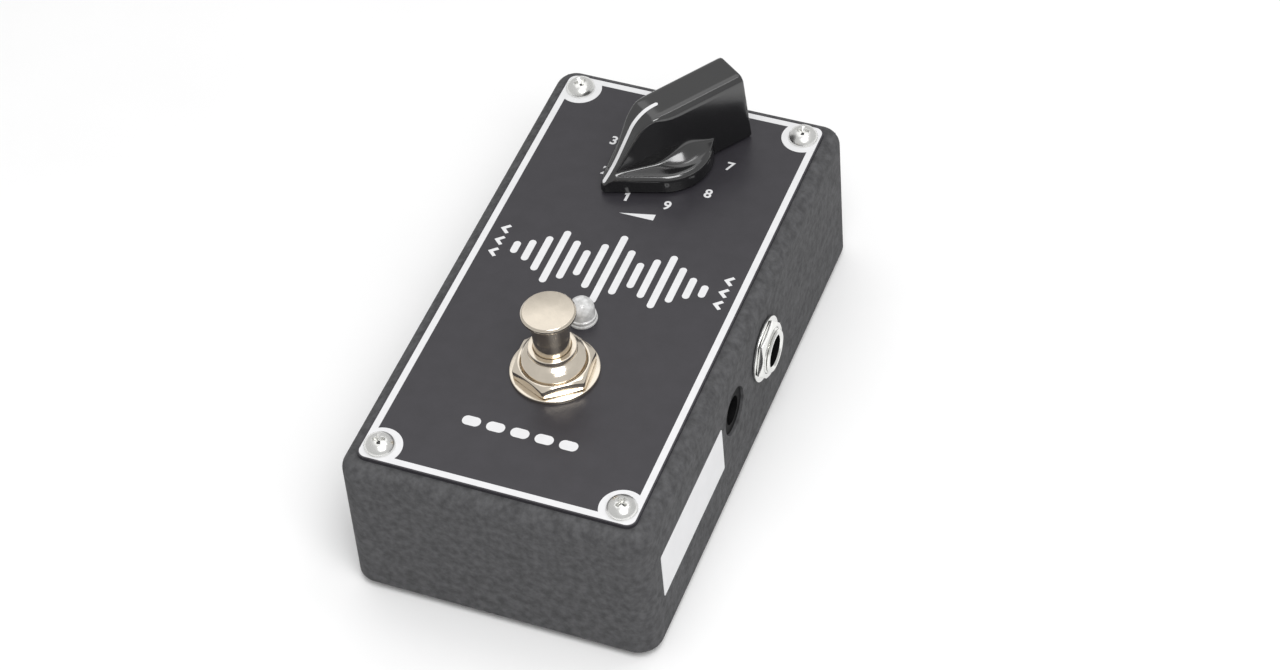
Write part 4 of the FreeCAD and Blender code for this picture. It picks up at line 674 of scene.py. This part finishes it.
class PEDAL_OT_finishes(bpy.types.Operator):
    """Make the procedural finishes and give each CAD node the one of its slot"""
    bl_idname = "pedal.finishes"
    bl_label = "Finishes"

    def execute(self, context):
        paint = context.scene.pedal.paint
        make_grain_group()
        make_mottle_group()
        make_smudge_group()
        make_turning_group()
        for row in self.textured_rows(paint):
            textured_finish(*row)
        for row in self.metal_rows(paint):
            metal_finish(*row)
        for entry in frame["record"]["subparts"]:
            node = frame["nodes"][entry["node"]]
            finish = bpy.data.materials[entry["material_slot"]]
            for slot in node.material_slots:
                slot.material = finish
            if not node.material_slots:
                node.data.materials.append(finish)
        return {"FINISHED"}

    def textured_rows(self, paint):
        """Paint, plastic, rubber and paper. Each row holds what textured_finish takes, in its order."""
        return (
            ("housing_paint", paint.coat, 0.27, 640.0, (0.75, 0.85), 620.0, 0.0002,
             {"Specular IOR Level": 0.2}),
            ("plate_paint", paint.plate, 0.08, 260.0, (0.28, 0.36), 2600.0, 0.000006,
             {"Specular IOR Level": 0.5}),
            ("screw_black", (0.02, 0.02, 0.022), 0.1, 300.0, (0.3, 0.4), 2000.0, 0.00001),
            ("rubber", (0.02, 0.02, 0.02), 0.2, 400.0, (0.75, 0.9), 1800.0, 0.00003),
            ("knob_plastic", paint.knob, 0.1, 120.0, (0.12, 0.18), 500.0, 0.000004,
             {"Specular IOR Level": 1.0, "IOR": 1.55}),
            ("black_plastic", (0.006, 0.006, 0.0065), 0.15, 300.0, (0.5, 0.65), 1500.0, 0.00002,
             {"Specular IOR Level": 0.05}),
            ("blue_plastic", (0.03, 0.09, 0.3), 0.1, 300.0, (0.4, 0.5), 1500.0, 0.00002),
            ("board_green", (0.02, 0.13, 0.055), 0.15, 200.0, (0.25, 0.4), 900.0, 0.00001),
            ("board_brown", (0.25, 0.13, 0.05), 0.2, 300.0, (0.5, 0.7), 1200.0, 0.00002),
            ("film_red", (0.35, 0.06, 0.03), 0.1, 300.0, (0.3, 0.4), 900.0, 0.00001),
            ("ribbon_grey", (0.45, 0.45, 0.47), 0.1, 300.0, (0.5, 0.6), 1500.0, 0.00002),
            ("white_ink", paint.ink, 0.03, 350.0, (0.4, 0.5), 1500.0, 0.000004),
            ("label_paper", (0.76, 0.76, 0.77), 0.02, 200.0, (0.45, 0.55), 1200.0, 0.000006),
            ("floor_paper", (0.95, 0.95, 0.95), 0.01, 20.0, (0.85, 0.95), 200.0, 0.00001),
            ("lens_clear", (0.86, 0.86, 0.85), 0.25, 900.0, (0.05, 0.1), 300.0, 0.000002,
             {"Transmission Weight": 0.25, "IOR": 1.49}),
        )

    def metal_rows(self, paint):
        """Plated and bare metals. Each row holds what metal_finish takes, in its order."""
        rings = (60.0, 60.0, 5000.0)
        return (
            ("nickel", paint.nickel, (0.12, 0.2), rings, 0.000003),
            # Painted light: a brighter copy of the nickel, standing in for the stronger light that falls on
            # the nut, the washer and the bushing
            ("nut_nickel", shade(paint.nickel, 1.18), (0.12, 0.2), rings, 0.000003),
            ("socket_nickel", paint.bright, (0.14, 0.2), (5000.0, 60.0, 60.0), 0.000003),
            ("satin_nickel", paint.bright, (0.22, 0.3), rings, 0.000003),
            ("steel", (0.55, 0.55, 0.56), (0.25, 0.35), (80.0, 80.0, 4000.0), 0.000006),
            ("tin", (0.7, 0.7, 0.7), (0.3, 0.4), (800.0, 800.0, 800.0), 0.000006),
            ("brass", (0.78, 0.58, 0.25), (0.2, 0.3), (80.0, 80.0, 5000.0), 0.000004),
        )


# Stage

class PEDAL_OT_stage(bpy.types.Operator):
    """Set up the camera, the floor and the studio light"""
    bl_idname = "pedal.stage"
    bl_label = "Stage"

    def execute(self, context):
        scene = context.scene
        camera = bpy.data.cameras.new("camera")
        camera.sensor_width = SENSOR_WIDTH
        camera.lens = FOCAL_PIXELS / IMAGE_WIDTH * SENSOR_WIDTH
        camera.clip_start = 0.01
        camera.clip_end = 20.0
        holder = show(camera, "camera")
        turn = Matrix((CAMERA_RIGHT, CAMERA_UP, -CAMERA_AHEAD)).transposed().to_4x4()
        holder.matrix_world = Matrix.Translation(CAMERA_PLACE) @ turn
        scene.camera = holder
        scene.view_settings.view_transform = "Standard"

        corners = [(-3, -3, 0), (3, -3, 0), (3, 3, 0), (-3, 3, 0)]
        floor = show(mesh_from("floor", corners, [(0, 1, 2, 3)]), "floor")
        floor.data.materials.append(bpy.data.materials["floor_paper"])

        world = bpy.data.worlds.new("studio")
        world.use_nodes = True
        background = world.node_tree.nodes["Background"]
        background.inputs["Color"].default_value = (1.0, 1.0, 1.0, 1.0)
        background.inputs["Strength"].default_value = WORLD_STRENGTH
        scene.world = world
        self.add_light("window", (-0.18, 0.5, 1.28), (1.3, 1.0), 0.65)
        self.add_light("softbox", (0.198, -0.22, 0.556), (0.28, 0.34), 6.6)
        self.add_light("strip", (0.27, 0.184, 0.836), (0.1, 0.3), 3.0)
        return {"FINISHED"}

    def add_light(self, name, position, size, radiance):
        """Add a flat lamp that looks at the pedal and is as bright as wanted to the eye."""
        lamp = bpy.data.lights.new(name, "AREA")
        lamp.shape = "RECTANGLE"
        lamp.size, lamp.size_y = size
        lamp.energy = radiance * math.pi * size[0] * size[1]
        holder = show(lamp, name)
        holder.visible_camera = False
        holder.location = position
        aim = Vector(LAMPS_AIM) - Vector(position)
        holder.rotation_euler = aim.to_track_quat("-Z", "Y").to_euler()


# Housing, plate and print

class PEDAL_OT_housing(bpy.types.Operator):
    """Soften the housing, the bottom cover and the face plate"""
    bl_idname = "pedal.housing"
    bl_label = "Housing and face plate"

    def execute(self, context):
        for node, name, finish, edge in (("enclosure", "housing_shell", "housing_paint", 0.00022),
                                         ("bottom_cover", "bottom_sheet", "housing_paint", 0.00012),
                                         ("faceplate", "face_sheet", "plate_paint", 0.00012)):
            add_piece(dressed_copy(node, name, edge), name, "housing", finish, [node])
        return {"FINISHED"}


class PEDAL_OT_plate_print(bpy.types.Operator):
    """Print the border, the dial numbers and the plain white marks on the face plate"""
    bl_idname = "pedal.plate_print"
    bl_label = "Plate print"

    def execute(self, context):
        work = context.scene.pedal.print_work
        ink = work.ink_height
        sink = 0.004
        prints = {
            "print_border": [flat_mesh("print_border", self.border(work), ink)],
            "print_numbers": self.numbers(work),
            "print_wave": [flat_mesh("print_wave", self.wave(), ink)],
            "print_marks": [flat_mesh("print_marks", self.marks(), ink)],
        }
        for name, meshes in prints.items():
            mesh = merged(name, meshes)
            mesh.transform(upright(0, 0, PLATE_TOP + ink / MM / 2 - sink))
            tidy_mesh(mesh, crease=30.0)
            add_piece(mesh, name, "housing", "white_ink")
        return {"FINISHED"}

    def border(self, work):
        """The outer line, and an inner line that runs round the screw pads."""
        inset = work.border_inset / MM
        half_x = PLATE_HALF_X - inset
        half_y = PLATE_HALF_Y - inset
        corner_round = 1.7
        outer = rounded_box(-half_x, half_x, -half_y, half_y, corner_round)
        pad = work.pad_radius / MM
        side = half_x - work.border_width / MM - SCREW_X
        end = half_y - work.border_width / MM - SCREW_Y
        first = math.degrees(math.asin(-math.sqrt(pad ** 2 - side ** 2) / pad))
        last = 180 - math.degrees(math.asin(end / pad))
        corner = arc_points(SCREW_X, SCREW_Y, pad, first, last - 360)
        inner = list(corner)
        inner += [(-x, y) for x, y in reversed(corner)]
        inner += [(-x, -y) for x, y in corner]
        inner += [(x, -y) for x, y in reversed(corner)]
        return [outer, inner]

    def numbers(self, work):
        """The numbers 1 to 9, clockwise round the dial from its front."""
        middle = (0.45, DIAL_Y - 0.2)
        first, apart = 20, 40
        reach = work.digit_radius / MM
        digits = []
        for number in range(1, 10):
            if number == 1:
                digit = flat_mesh("digit_1", [self.figure_one(work.digit_height / MM)], work.ink_height)
            else:
                digit = text_mesh(f"digit_{number}", str(number), work.digit_height, work.ink_height)
            turn = math.radians(first + apart * (number - 1))
            digit.transform(upright(middle[0] - math.sin(turn) * reach, middle[1] - math.cos(turn) * reach))
            digits.append(digit)
        return digits

    def figure_one(self, height):
        """A bold figure one with a flag, as tall as the other numbers."""
        half = height / 2
        left, stem, right = -0.5, -0.12, 0.44
        return [(stem, -half), (right, -half), (right, half), (0.04, half), (left, half - 0.36),
                (left, half - 0.76), (stem, half - 0.6)]

    def wave(self):
        """A row of upright bars whose lengths swell and fade, as on a level display."""
        lengths = (3.2, 5.6, 9.4, 14.2, 10.4, 6.8, 12.0, 18.4, 12.0, 6.8, 10.4, 14.2, 9.4, 5.6, 3.2)
        apart, half_width, end_round, y = 2.75, 0.72, 0.7, 4.4
        outlines = []
        for number, length in enumerate(lengths):
            x = (number - (len(lengths) - 1) / 2) * apart
            reach = length / 2
            outlines.append(rounded_box(x - half_width, x + half_width, y - reach, y + reach, end_round))
        return outlines

    def marks(self):
        """The wedge under the dial, the arrows beside the sockets and the row of dashes at the front."""
        outlines = [[(-3.5, 19.1), (3.5, 19.1), (3.5, 20.7)]]
        arrow_x, arrow_y, arrows_apart = 23.0, 5.2, 3.2
        for x in (-arrow_x, arrow_x):
            for step in (-1, 0, 1):
                y = arrow_y + step * arrows_apart
                outlines.append([(x - 1.0, y), (x + 0.45, y - 1.25), (x + 1.0, y - 0.85),
                                 (x + 0.05, y), (x + 1.0, y + 0.85), (x + 0.45, y + 1.25)])
        dashes_apart, half_dash, middle_x = 4.8, 1.8, -0.4
        low, high, end_round = -40.1, -37.9, 1.05
        for number in range(5):
            x = (number - 2) * dashes_apart + middle_x
            outlines.append(rounded_box(x - half_dash, x + half_dash, low, high, end_round))
        return outlines


# Repeated hardware

class PEDAL_OT_screws(bpy.types.Operator):
    """Set the corner screws on the plate and under the cover"""
    bl_idname = "pedal.screws"
    bl_label = "Screws"

    def execute(self, context):
        turns = {(-1, -1): 20, (1, -1): 65, (-1, 1): 40, (1, 1): 10}
        domed = self.screw_mesh("pan_head", [
            (0.03, -7.9), (1.2, -7.9), (1.47, -7.5), (1.47, 0.0), (2.9, 0.0), (2.95, 0.06), (2.93, 0.3),
            (2.82, 0.65), (2.62, 0.98), (2.34, 1.28), (1.98, 1.54), (1.55, 1.75), (1.05, 1.9), (0.5, 1.98),
            (0.03, 2.0)], 2.0)
        places = [(side * SCREW_X, end * SCREW_Y, PLATE_TOP, turn) for (side, end), turn in turns.items()]
        top = repeated("plate_screws", domed, places, "satin_nickel")
        screws = add_piece(top, "plate_screws", "housing", "satin_nickel", ["face_screws"])

        recess_top, recess_reach = PLATE_TOP + 1.6, 1.5

        # Painted shade: the faces inside the cross recesses take the black of the cover screws, so the
        # recesses look dark
        def in_recess(spot):
            reach = min(math.hypot(spot.x - x, spot.y - y) for x, y, z, turn in places)
            return PLATE_TOP < spot.z < recess_top and reach < recess_reach

        second_finish(screws, "screw_black", in_recess)
        flush = self.screw_mesh("flush_head", [
            (0.03, -9.5), (1.2, -9.5), (1.47, -9.1), (1.47, -1.3), (2.72, -0.06), (2.72, -0.01),
            (2.68, 0.0), (0.03, 0.0)], 0.0)
        flush.transform(Matrix.Rotation(math.pi, 4, "X"))
        under = [(x, y, COVER_HEADS_Z, turn + 25) for x, y, z, turn in places]
        below = repeated("cover_fixings", flush, under, "screw_black")
        add_piece(below, "cover_fixings", "housing", "screw_black", ["cover_screws"])
        return {"FINISHED"}

    def screw_mesh(self, name, rings, top):
        """A turned screw with a cross recess that narrows downwards from the head's top."""
        screw = show(lathe(name, rings), name)
        mouth = [(-1.55, -0.42, 0.3), (1.55, -0.42, 0.3), (1.55, 0.42, 0.3), (-1.55, 0.42, 0.3)]
        bottom = [(-0.55, -0.22, -1.25), (0.55, -0.22, -1.25), (0.55, 0.22, -1.25), (-0.55, 0.22, -1.25)]
        corners = [Vector(corner) * MM for corner in mouth + bottom]
        faces = [(0, 1, 2, 3), (7, 6, 5, 4), (0, 4, 5, 1), (1, 5, 6, 2), (2, 6, 7, 3), (3, 7, 4, 0)]
        cutters = []
        for turn in (0, 90):
            wedge = mesh_from("wedge", corners, faces)
            wedge.transform(upright(0, 0, top, turn))
            tidy_mesh(wedge, crease=20.0)
            cutters.append(show(wedge, f"wedge_{turn}"))
        for cutter in cutters:
            carve = screw.modifiers.new("recess", "BOOLEAN")
            carve.operation = "DIFFERENCE"
            carve.solver = "EXACT"
            carve.object = cutter
        soften(screw, 0.00006, 2, 40.0)
        settle(screw)
        mesh = screw.data
        for item in [screw] + cutters:
            bpy.data.objects.remove(item)
        tidy_mesh(mesh, crease=28.0)
        return mesh


class PEDAL_OT_feet(bpy.types.Operator):
    """Set the four ring-shaped feet"""
    bl_idname = "pedal.feet"
    bl_label = "Feet"

    def execute(self, context):
        corners = [(3.5, 0.0, 0.2), (5.55, 0.0, 0.3), (6.0, 0.5, 0.3), (6.0, 2.0, 0.15), (3.5, 2.0, 0.15)]
        foot = lathe("foot", rounded(corners, 0.2), closed=True)
        places = [(side * SCREW_X, end * SCREW_Y, 0.0, 0.0) for side in (-1, 1) for end in (-1, 1)]
        feet = repeated("feet", foot, places, "rubber")
        add_piece(feet, "feet", "housing", "rubber", ["rubber_feet"])
        return {"FINISHED"}


# Knob

class PEDAL_OT_knob(bpy.types.Operator):
    """Shape the pointer knob with soft moulded edges and its white line"""
    bl_idname = "pedal.knob"
    bl_label = "Knob"

    def execute(self, context):
        wanted = context.scene.pedal.knob
        knob = self.solid_mesh(wanted.cell / MM, wanted.edge_round / MM)
        add_piece(knob, "pointer_knob", "dial", "knob_plastic", ["gain_knob"])
        line = self.pointer_line(knob, wanted.line_width / MM)
        add_piece(line, "pointer_line", "dial", "white_ink")
        return {"FINISHED"}

    def solid_mesh(self, cell, soft):
        """Sample the distance to the knob's surface on a fine grid and mesh where it is zero."""
        low = (-KNOB["bar_back"] - 1, -KNOB["skirt_radius"] - 1, -1)
        high = (KNOB["nose_reach"] + 1, KNOB["skirt_radius"] + 1, KNOB["height"] + 1)
        axes = [numpy.arange(start, end, cell, dtype=numpy.float32) for start, end in zip(low, high)]
        ahead, side, up = numpy.meshgrid(*axes, indexing="ij", sparse=True)
        field = self.distance(ahead, side, up, soft)
        grid = openvdb.FloatGrid(3 * cell)
        grid.copyFromArray(numpy.ascontiguousarray(numpy.clip(field, -3 * cell, 3 * cell)))
        points, faces = grid.convertToQuads(0.0)
        turn = math.radians(POINTER_TURN)
        local = points * cell + numpy.array(low)
        x = -math.sin(turn) * local[:, 0] + math.cos(turn) * local[:, 1]
        y = -math.cos(turn) * local[:, 0] - math.sin(turn) * local[:, 1]
        placed = numpy.column_stack([x, y + DIAL_Y, local[:, 2] + KNOB_BASE]) * MM
        mesh = mesh_from("pointer_knob", placed.tolist(), faces.tolist())
        tidy_mesh(mesh, crease=75.0)
        return mesh

    def distance(self, ahead, side, up, soft):
        """Distance to the knob's surface, positive outside: a skirt, a bell and a bar under one slope."""
        reach = numpy.hypot(ahead, side)
        bell_soft = 0.25
        body = join(self.skirt(ahead, side, reach, up), self.bell(ahead, side, up), bell_soft)
        shape = join(body, self.bar(ahead, side, up, soft), soft)
        shape = overlap(shape, self.slope(ahead, up), soft)
        hollow = numpy.maximum(reach - KNOB["cavity_radius"], up - KNOB["cavity_height"])
        seat = numpy.maximum(reach - KNOB["seat_radius"], up - KNOB["seat_height"])
        bore = numpy.maximum(reach - KNOB["bore_radius"], up - KNOB["bore_height"])
        grub = numpy.maximum(numpy.hypot(ahead, up - KNOB["grub_height"]) - KNOB["grub_radius"], side)
        holes = numpy.minimum(numpy.minimum(hollow, seat), numpy.minimum(bore, grub))
        return numpy.maximum(numpy.maximum(shape, -up), -holes)

    def skirt(self, ahead, side, reach, up):
        """A disc whose flanks run together at the nose."""
        nose = math.hypot(KNOB["nose_reach"], KNOB["nose_half"])
        turn = math.atan2(KNOB["nose_half"], KNOB["nose_reach"]) + math.acos(KNOB["skirt_radius"] / nose)
        flank = ahead * math.cos(turn) + abs(side) * math.sin(turn)
        behind = numpy.arctan2(abs(side), ahead) > turn
        edge = numpy.where(behind, reach, flank) - KNOB["skirt_radius"]
        out = numpy.maximum(edge, ahead - KNOB["nose_reach"])
        return overlap(out, up - KNOB["skirt_height"], 2 * KNOB["skirt_round"])

    def bell(self, ahead, side, up):
        """The hollow side is one arc from the rim up to the neck, round an axis behind the dial's."""
        reach = numpy.hypot(ahead + KNOB["bell_back"], side)
        top = KNOB["skirt_height"] + KNOB["bell_height"]
        rim = numpy.array([KNOB["bell_radius"], KNOB["skirt_height"]])
        neck = numpy.array([KNOB["neck_radius"], top])
        chord = rim - neck
        length = math.hypot(chord[0], chord[1])
        outward = numpy.array([-chord[1], chord[0]]) / length
        centre = (rim + neck) / 2 + outward * math.sqrt(KNOB["bell_bend"] ** 2 - length ** 2 / 4)
        hollow = KNOB["bell_bend"] - numpy.hypot(reach - centre[0], up - centre[1])
        low = KNOB["skirt_height"] - KNOB["skirt_round"]
        return numpy.maximum(numpy.maximum(hollow, reach - KNOB["bell_radius"]),
                             numpy.maximum(up - top, low - up))

    def bar(self, ahead, side, up, soft):
        """The grip bar: leaning sides that narrow to the nose, with a bevel along the top."""
        lean = math.radians(KNOB["bar_draft"])
        out = abs(side)
        walls = out * math.cos(lean) + up * math.sin(lean) - KNOB["bar_half"] * math.cos(lean)
        back = -ahead * math.cos(lean) + up * math.sin(lean) - KNOB["bar_back"] * math.cos(lean)
        front = ahead * math.cos(lean) + up * math.sin(lean) - KNOB["nose_reach"] * math.cos(lean)
        run = KNOB["nose_reach"] - KNOB["bar_nose_start"]
        narrowing = KNOB["bar_half"] - KNOB["nose_half"]
        long = math.hypot(run, narrowing)
        flank = (out - KNOB["bar_half"]) * run / long + (ahead - KNOB["bar_nose_start"]) * narrowing / long
        flanks = flank * math.cos(lean) + up * math.sin(lean)
        top = up - KNOB["height"]
        bevel = (walls + top + KNOB["bevel"]) / math.sqrt(2)
        shape = overlap(overlap(walls, flanks, 2 * soft), overlap(back, front, soft), soft)
        return overlap(overlap(shape, top, soft), bevel, soft)

    def slope(self, ahead, up):
        """The brow, the straight slope and the toe, seen from the side."""
        angle = math.radians(KNOB["brow_angle"])
        along = numpy.array([math.cos(angle), -math.sin(angle)])
        out = numpy.array([math.sin(angle), math.cos(angle)])
        brow = numpy.array([KNOB["brow_start"], KNOB["height"] - KNOB["brow_radius"]])
        brow_end = brow + out * KNOB["brow_radius"]
        toe_start = brow_end + along * (brow_end[1] - KNOB["toe_height"]) / math.sin(angle)
        toe = toe_start + out * KNOB["toe_radius"]
        past_brow = (ahead - brow[0]) * along[0] + (up - brow[1]) * along[1]
        past_slope = (ahead - toe_start[0]) * along[0] + (up - toe_start[1]) * along[1]
        result = (ahead - brow_end[0]) * out[0] + (up - brow_end[1]) * out[1]
        round_brow = numpy.hypot(ahead - brow[0], up - brow[1]) - KNOB["brow_radius"]
        round_toe = KNOB["toe_radius"] - numpy.hypot(ahead - toe[0], up - toe[1])
        result = numpy.where(past_brow < 0, round_brow, result)
        result = numpy.where(past_slope > 0, round_toe, result)
        return numpy.where(ahead < KNOB["brow_start"], up - KNOB["height"], result)

    def pointer_line(self, surface, width):
        """Lay a thin strip of ink down the slope of the knob, from its brow to its nose."""
        first, last = 0.9, 14.7
        lanes = (-1.0, -0.92, -0.5, 0.0, 0.5, 0.92, 1.0)
        steps = 90
        tree = BVHTree.FromPolygons([vertex.co for vertex in surface.vertices],
                                    [tuple(face.vertices) for face in surface.polygons])
        turn = math.radians(POINTER_TURN)
        ahead = Vector((-math.sin(turn), -math.cos(turn), 0.0))
        across = Vector((-ahead.y, ahead.x, 0.0))
        above = Vector((0.0, DIAL_Y, 0.0)) * MM + Vector((0, 0, 0.08))
        rows = []
        for step in range(steps + 1):
            reach = first + (last - first) * step / steps
            cap = max(0.0, 1 - min(reach - first, last - reach) / (width / 2))
            half = width / 2 * max(0.12, math.sqrt(max(0.0, 1 - cap ** 2)))
            row = []
            for lane in lanes:
                start = above + (ahead * reach + across * lane * half) * MM
                hit = tree.ray_cast(start, Vector((0, 0, -1)))[0]
                if hit is None:
                    raise RuntimeError("the pointer line misses the knob")
                row.append(hit)
            rows.append(row)
        ink_top, ink_rim, ink_under = 0.00004, 0.00001, -0.0001
        upper = [point + Vector((0, 0, ink_rim if abs(lane) > 0.95 else ink_top))
                 for row in rows for lane, point in zip(lanes, row)]
        lower = [point + Vector((0, 0, ink_under)) for row in rows for point in row]
        count = len(lanes)
        layer = (steps + 1) * count
        faces = []
        for step in range(steps):
            for lane in range(count - 1):
                corner = step * count + lane
                faces.append((corner, corner + 1, corner + count + 1, corner + count))
                under = corner + layer
                faces.append((under, under + count, under + count + 1, under + 1))
        rim = list(range(count)) + [step * count + count - 1 for step in range(1, steps + 1)]
        rim += [steps * count + lane for lane in range(count - 2, -1, -1)]
        rim += [step * count for step in range(steps - 1, 0, -1)]
        for here, there in zip(rim, rim[1:] + rim[:1]):
            faces.append((here, here + layer, there + layer, there))
        mesh = mesh_from("pointer_line", upper + lower, faces)
        tidy_mesh(mesh, crease=40.0)
        return mesh


# Stomp switch

class PEDAL_OT_stomp_switch(bpy.types.Operator):
    """Turn the plunger, the threaded bushing, the washer and the nut of the stomp switch"""
    bl_idname = "pedal.stomp_switch"
    bl_label = "Stomp switch"

    def execute(self, context):
        middle = middle_of("switch_plunger")
        plunger = rounded([
            (0.02, 21.9, 0), (2.0, 21.9, 0.2), (2.0, 26.1, 0.1), (4.9, 26.1, 0.15), (4.9, 27.3, 0.15),
            (3.5, 27.3, 0.1), (3.5, 44.6, 0.3), (3.92, 49.3, 0.3), (4.9, 49.8, 0.3), (5.15, 50.1, 0.2),
            (5.15, 50.66, 0.25), (4.84, 51.0, 0.25), (0.02, 51.0, 0)], 0.1, 5)
        bushing = [(3.56, 27.6), (7.4, 27.6), (7.5, 27.7), (7.5, 28.5), (7.4, 28.6), (5.7, 28.6)]
        bushing += threaded(6.0, 28.7, 39.4, 0.75, 0.32)
        bushing += rounded([(5.97, 39.45, 0), (5.45, 39.95, 0.9), (4.7, 40.42, 0.12), (4.6, 40.6, 0.1),
                            (4.6, 41.7, 0.2), (3.7, 41.7, 0.1), (3.56, 41.56, 0)], 0.1, 6)
        low, high = PLATE_TOP, STOMP_WASHER_TOP
        washer = rounded([(6.03, low), (8.5, low), (8.5, high), (6.03, high)], 0.18)
        nut = nut_mesh("stomp_nut", flats=14.0, height=2.5, bore=6.03, turn=36.0)
        # The nut, the washer and the bushing take the brighter copy of the nickel, painted light for the
        # stronger light on them
        rows = (
            ("plunger", lathe("stomp_plunger", plunger, 128), 0.0, "plunger", "nickel"),
            ("bushing", lathe("stomp_bushing", bushing, 128, closed=True), 0.0, "housing", "nut_nickel"),
            ("washer", lathe("stomp_washer", washer, 128, closed=True), 0.0, "housing", "nut_nickel"),
            ("nut", nut, high, "housing", "nut_nickel"),
        )
        for name, mesh, base, body, finish in rows:
            mesh.transform(upright(middle.x, middle.y, base))
            add_piece(mesh, f"stomp_{name}", body, finish, [f"switch_{name}"])
        self.add_spring()
        return {"FINISHED"}

    def add_spring(self):
        """Put a copy of the CAD spring, which stands on its case, in its place with a mesh of its own."""
        spring = dressed_copy("switch_spring", "press_spring", 0.0)
        add_piece(spring, "press_spring", "housing", "steel", ["switch_spring"])
        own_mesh(spring)


class PEDAL_OT_indicator(bpy.types.Operator):
    """Mould the clear dome of the indicator"""
    bl_idname = "pedal.indicator"
    bl_label = "Indicator"

    def execute(self, context):
        middle = middle_of("indicator_lens")
        dome_radius, dome_base = 2.5, 37.3
        rings = [(0.02, 31.4), (2.4, 31.4), (2.5, 31.5), (2.5, 34.6), (2.85, 34.6), (2.9, 34.65),
                 (2.9, 35.0), (2.82, 35.1), (2.5, 35.15), (2.5, 35.35), (2.7, 35.42), (2.76, 35.55),
                 (2.74, 35.85), (2.6, 35.98), (2.5, 36.05), (dome_radius, dome_base)]
        for angle in range(6, 90, 6):
            turn = math.radians(angle)
            rings.append((dome_radius * math.cos(turn), dome_base + dome_radius * math.sin(turn)))
        rings.append((0.02, dome_base + dome_radius))
        lens = lathe("indicator_dome", rings)
        lens.transform(upright(middle.x, middle.y))
        add_piece(lens, "indicator_dome", "housing", "lens_clear", ["indicator_lens"])
        return {"FINISHED"}


# On the side walls

class PEDAL_OT_phone_sockets(bpy.types.Operator):
    """Turn the nut, the washer and the bushing of both phone sockets"""
    bl_idname = "pedal.phone_sockets"
    bl_label = "Phone sockets"

    def execute(self, context):
        face = SOCKET_WASHER_FACE
        washer = rounded([(4.53, face - 0.5), (6.6, face - 0.5), (6.6, face), (4.53, face)], 0.12)
        bushing = [(3.2, 26.54), (5.9, 26.54), (6.0, 26.64), (6.0, 27.94), (5.9, 28.04), (4.25, 28.04)]
        bushing += threaded(4.5, 28.1, 32.4, 0.6, 0.25)
        bushing += rounded([(4.4, 32.6, 0), (4.1, 32.92, 0.1), (3.55, 32.92, 0.1), (3.2, 32.57, 0)], 0.1)
        bore_reach = 3.3
        for side, name in ((1, "input"), (-1, "output")):
            middle = middle_of(f"{name}_jack_nut")
            spot = along_x(side, 0.0, middle.y, middle.z)
            nut = nut_mesh(f"{name}_nut", flats=11.0, height=1.25, bore=4.53, turn=40.0)
            rows = (
                ("washer", lathe(f"{name}_washer", washer, 128, closed=True), spot),
                ("nut", nut, along_x(side, side * face, middle.y, middle.z)),
                ("bushing", lathe(f"{name}_bushing", bushing, 128, closed=True), spot),
            )
            for kind, mesh, place in rows:
                mesh.transform(place)
                piece = add_piece(mesh, f"{name}_{kind}", "housing", "socket_nickel",
                                  [f"{name}_jack_{kind}"])

            # Painted shade: the bore wall of the metal bushing takes black plastic, so the hole looks dark
            def in_bore(spot):
                return math.hypot(spot.y - middle.y, spot.z - middle.z) < bore_reach

            second_finish(piece, "black_plastic", in_bore)
        return {"FINISHED"}


class PEDAL_OT_side_label(bpy.types.Operator):
    """Stick the blank white label on the right wall"""
    bl_idname = "pedal.side_label"
    bl_label = "Side label"

    def execute(self, context):
        thickness, stand = 0.0001, 0.00003
        front, back, low, high, corner_round = -49.6, -17.5, 11.8, 23.0, 0.4
        sheet = flat_mesh("side_label", [rounded_box(front, back, low, high, corner_round)], thickness)
        lean = math.tan(math.radians(BOX_DRAFT))
        for vertex in sheet.vertices:
            y, z, lift = vertex.co
            wall = WALL_FOOT_X * MM - (z - WALL_FOOT_Z * MM) * lean
            vertex.co = (wall + stand + lift, y, z)
        tidy_mesh(sheet, crease=30.0)
        add_piece(sheet, "side_label", "housing", "label_paper")
        return {"FINISHED"}


# Sidebar and start

class PEDAL_PT_sidebar(bpy.types.Panel):
    """Settings and steps of the pedal's looks"""
    bl_label = "Pedal"
    bl_idname = "PEDAL_PT_sidebar"
    bl_space_type = "VIEW_3D"
    bl_region_type = "UI"
    bl_category = "Pedal"

    def draw(self, context):
        settings = context.scene.pedal
        for group in (settings.print_work, settings.knob, settings.paint):
            column = self.layout.column(align=True)
            for name in group.bl_rna.properties.keys():
                if name not in {"rna_type", "name"}:
                    column.prop(group, name)
        for step in STEPS:
            self.layout.operator(step.bl_idname)


GROUPS = (PrintSettings, KnobSettings, PaintSettings, PedalSettings)
STEPS = (PEDAL_OT_finishes, PEDAL_OT_stage, PEDAL_OT_housing, PEDAL_OT_plate_print, PEDAL_OT_screws,
         PEDAL_OT_feet, PEDAL_OT_knob, PEDAL_OT_stomp_switch, PEDAL_OT_indicator, PEDAL_OT_phone_sockets,
         PEDAL_OT_side_label)


def register():
    for kind in GROUPS + STEPS + (PEDAL_PT_sidebar,):
        bpy.utils.register_class(kind)
    bpy.types.Scene.pedal = PointerProperty(type=PedalSettings)


def unregister():
    del bpy.types.Scene.pedal
    for kind in reversed(GROUPS + STEPS + (PEDAL_PT_sidebar,)):
        bpy.utils.unregister_class(kind)


def main():
    register()
    bpy.ops.pedal.finishes()
    bpy.ops.pedal.stage()
    bpy.ops.pedal.housing()
    bpy.ops.pedal.plate_print()
    bpy.ops.pedal.screws()
    bpy.ops.pedal.feet()
    bpy.ops.pedal.knob()
    bpy.ops.pedal.stomp_switch()
    bpy.ops.pedal.indicator()
    bpy.ops.pedal.phone_sockets()
    bpy.ops.pedal.side_label()


if __name__ == "__main__":
    main()
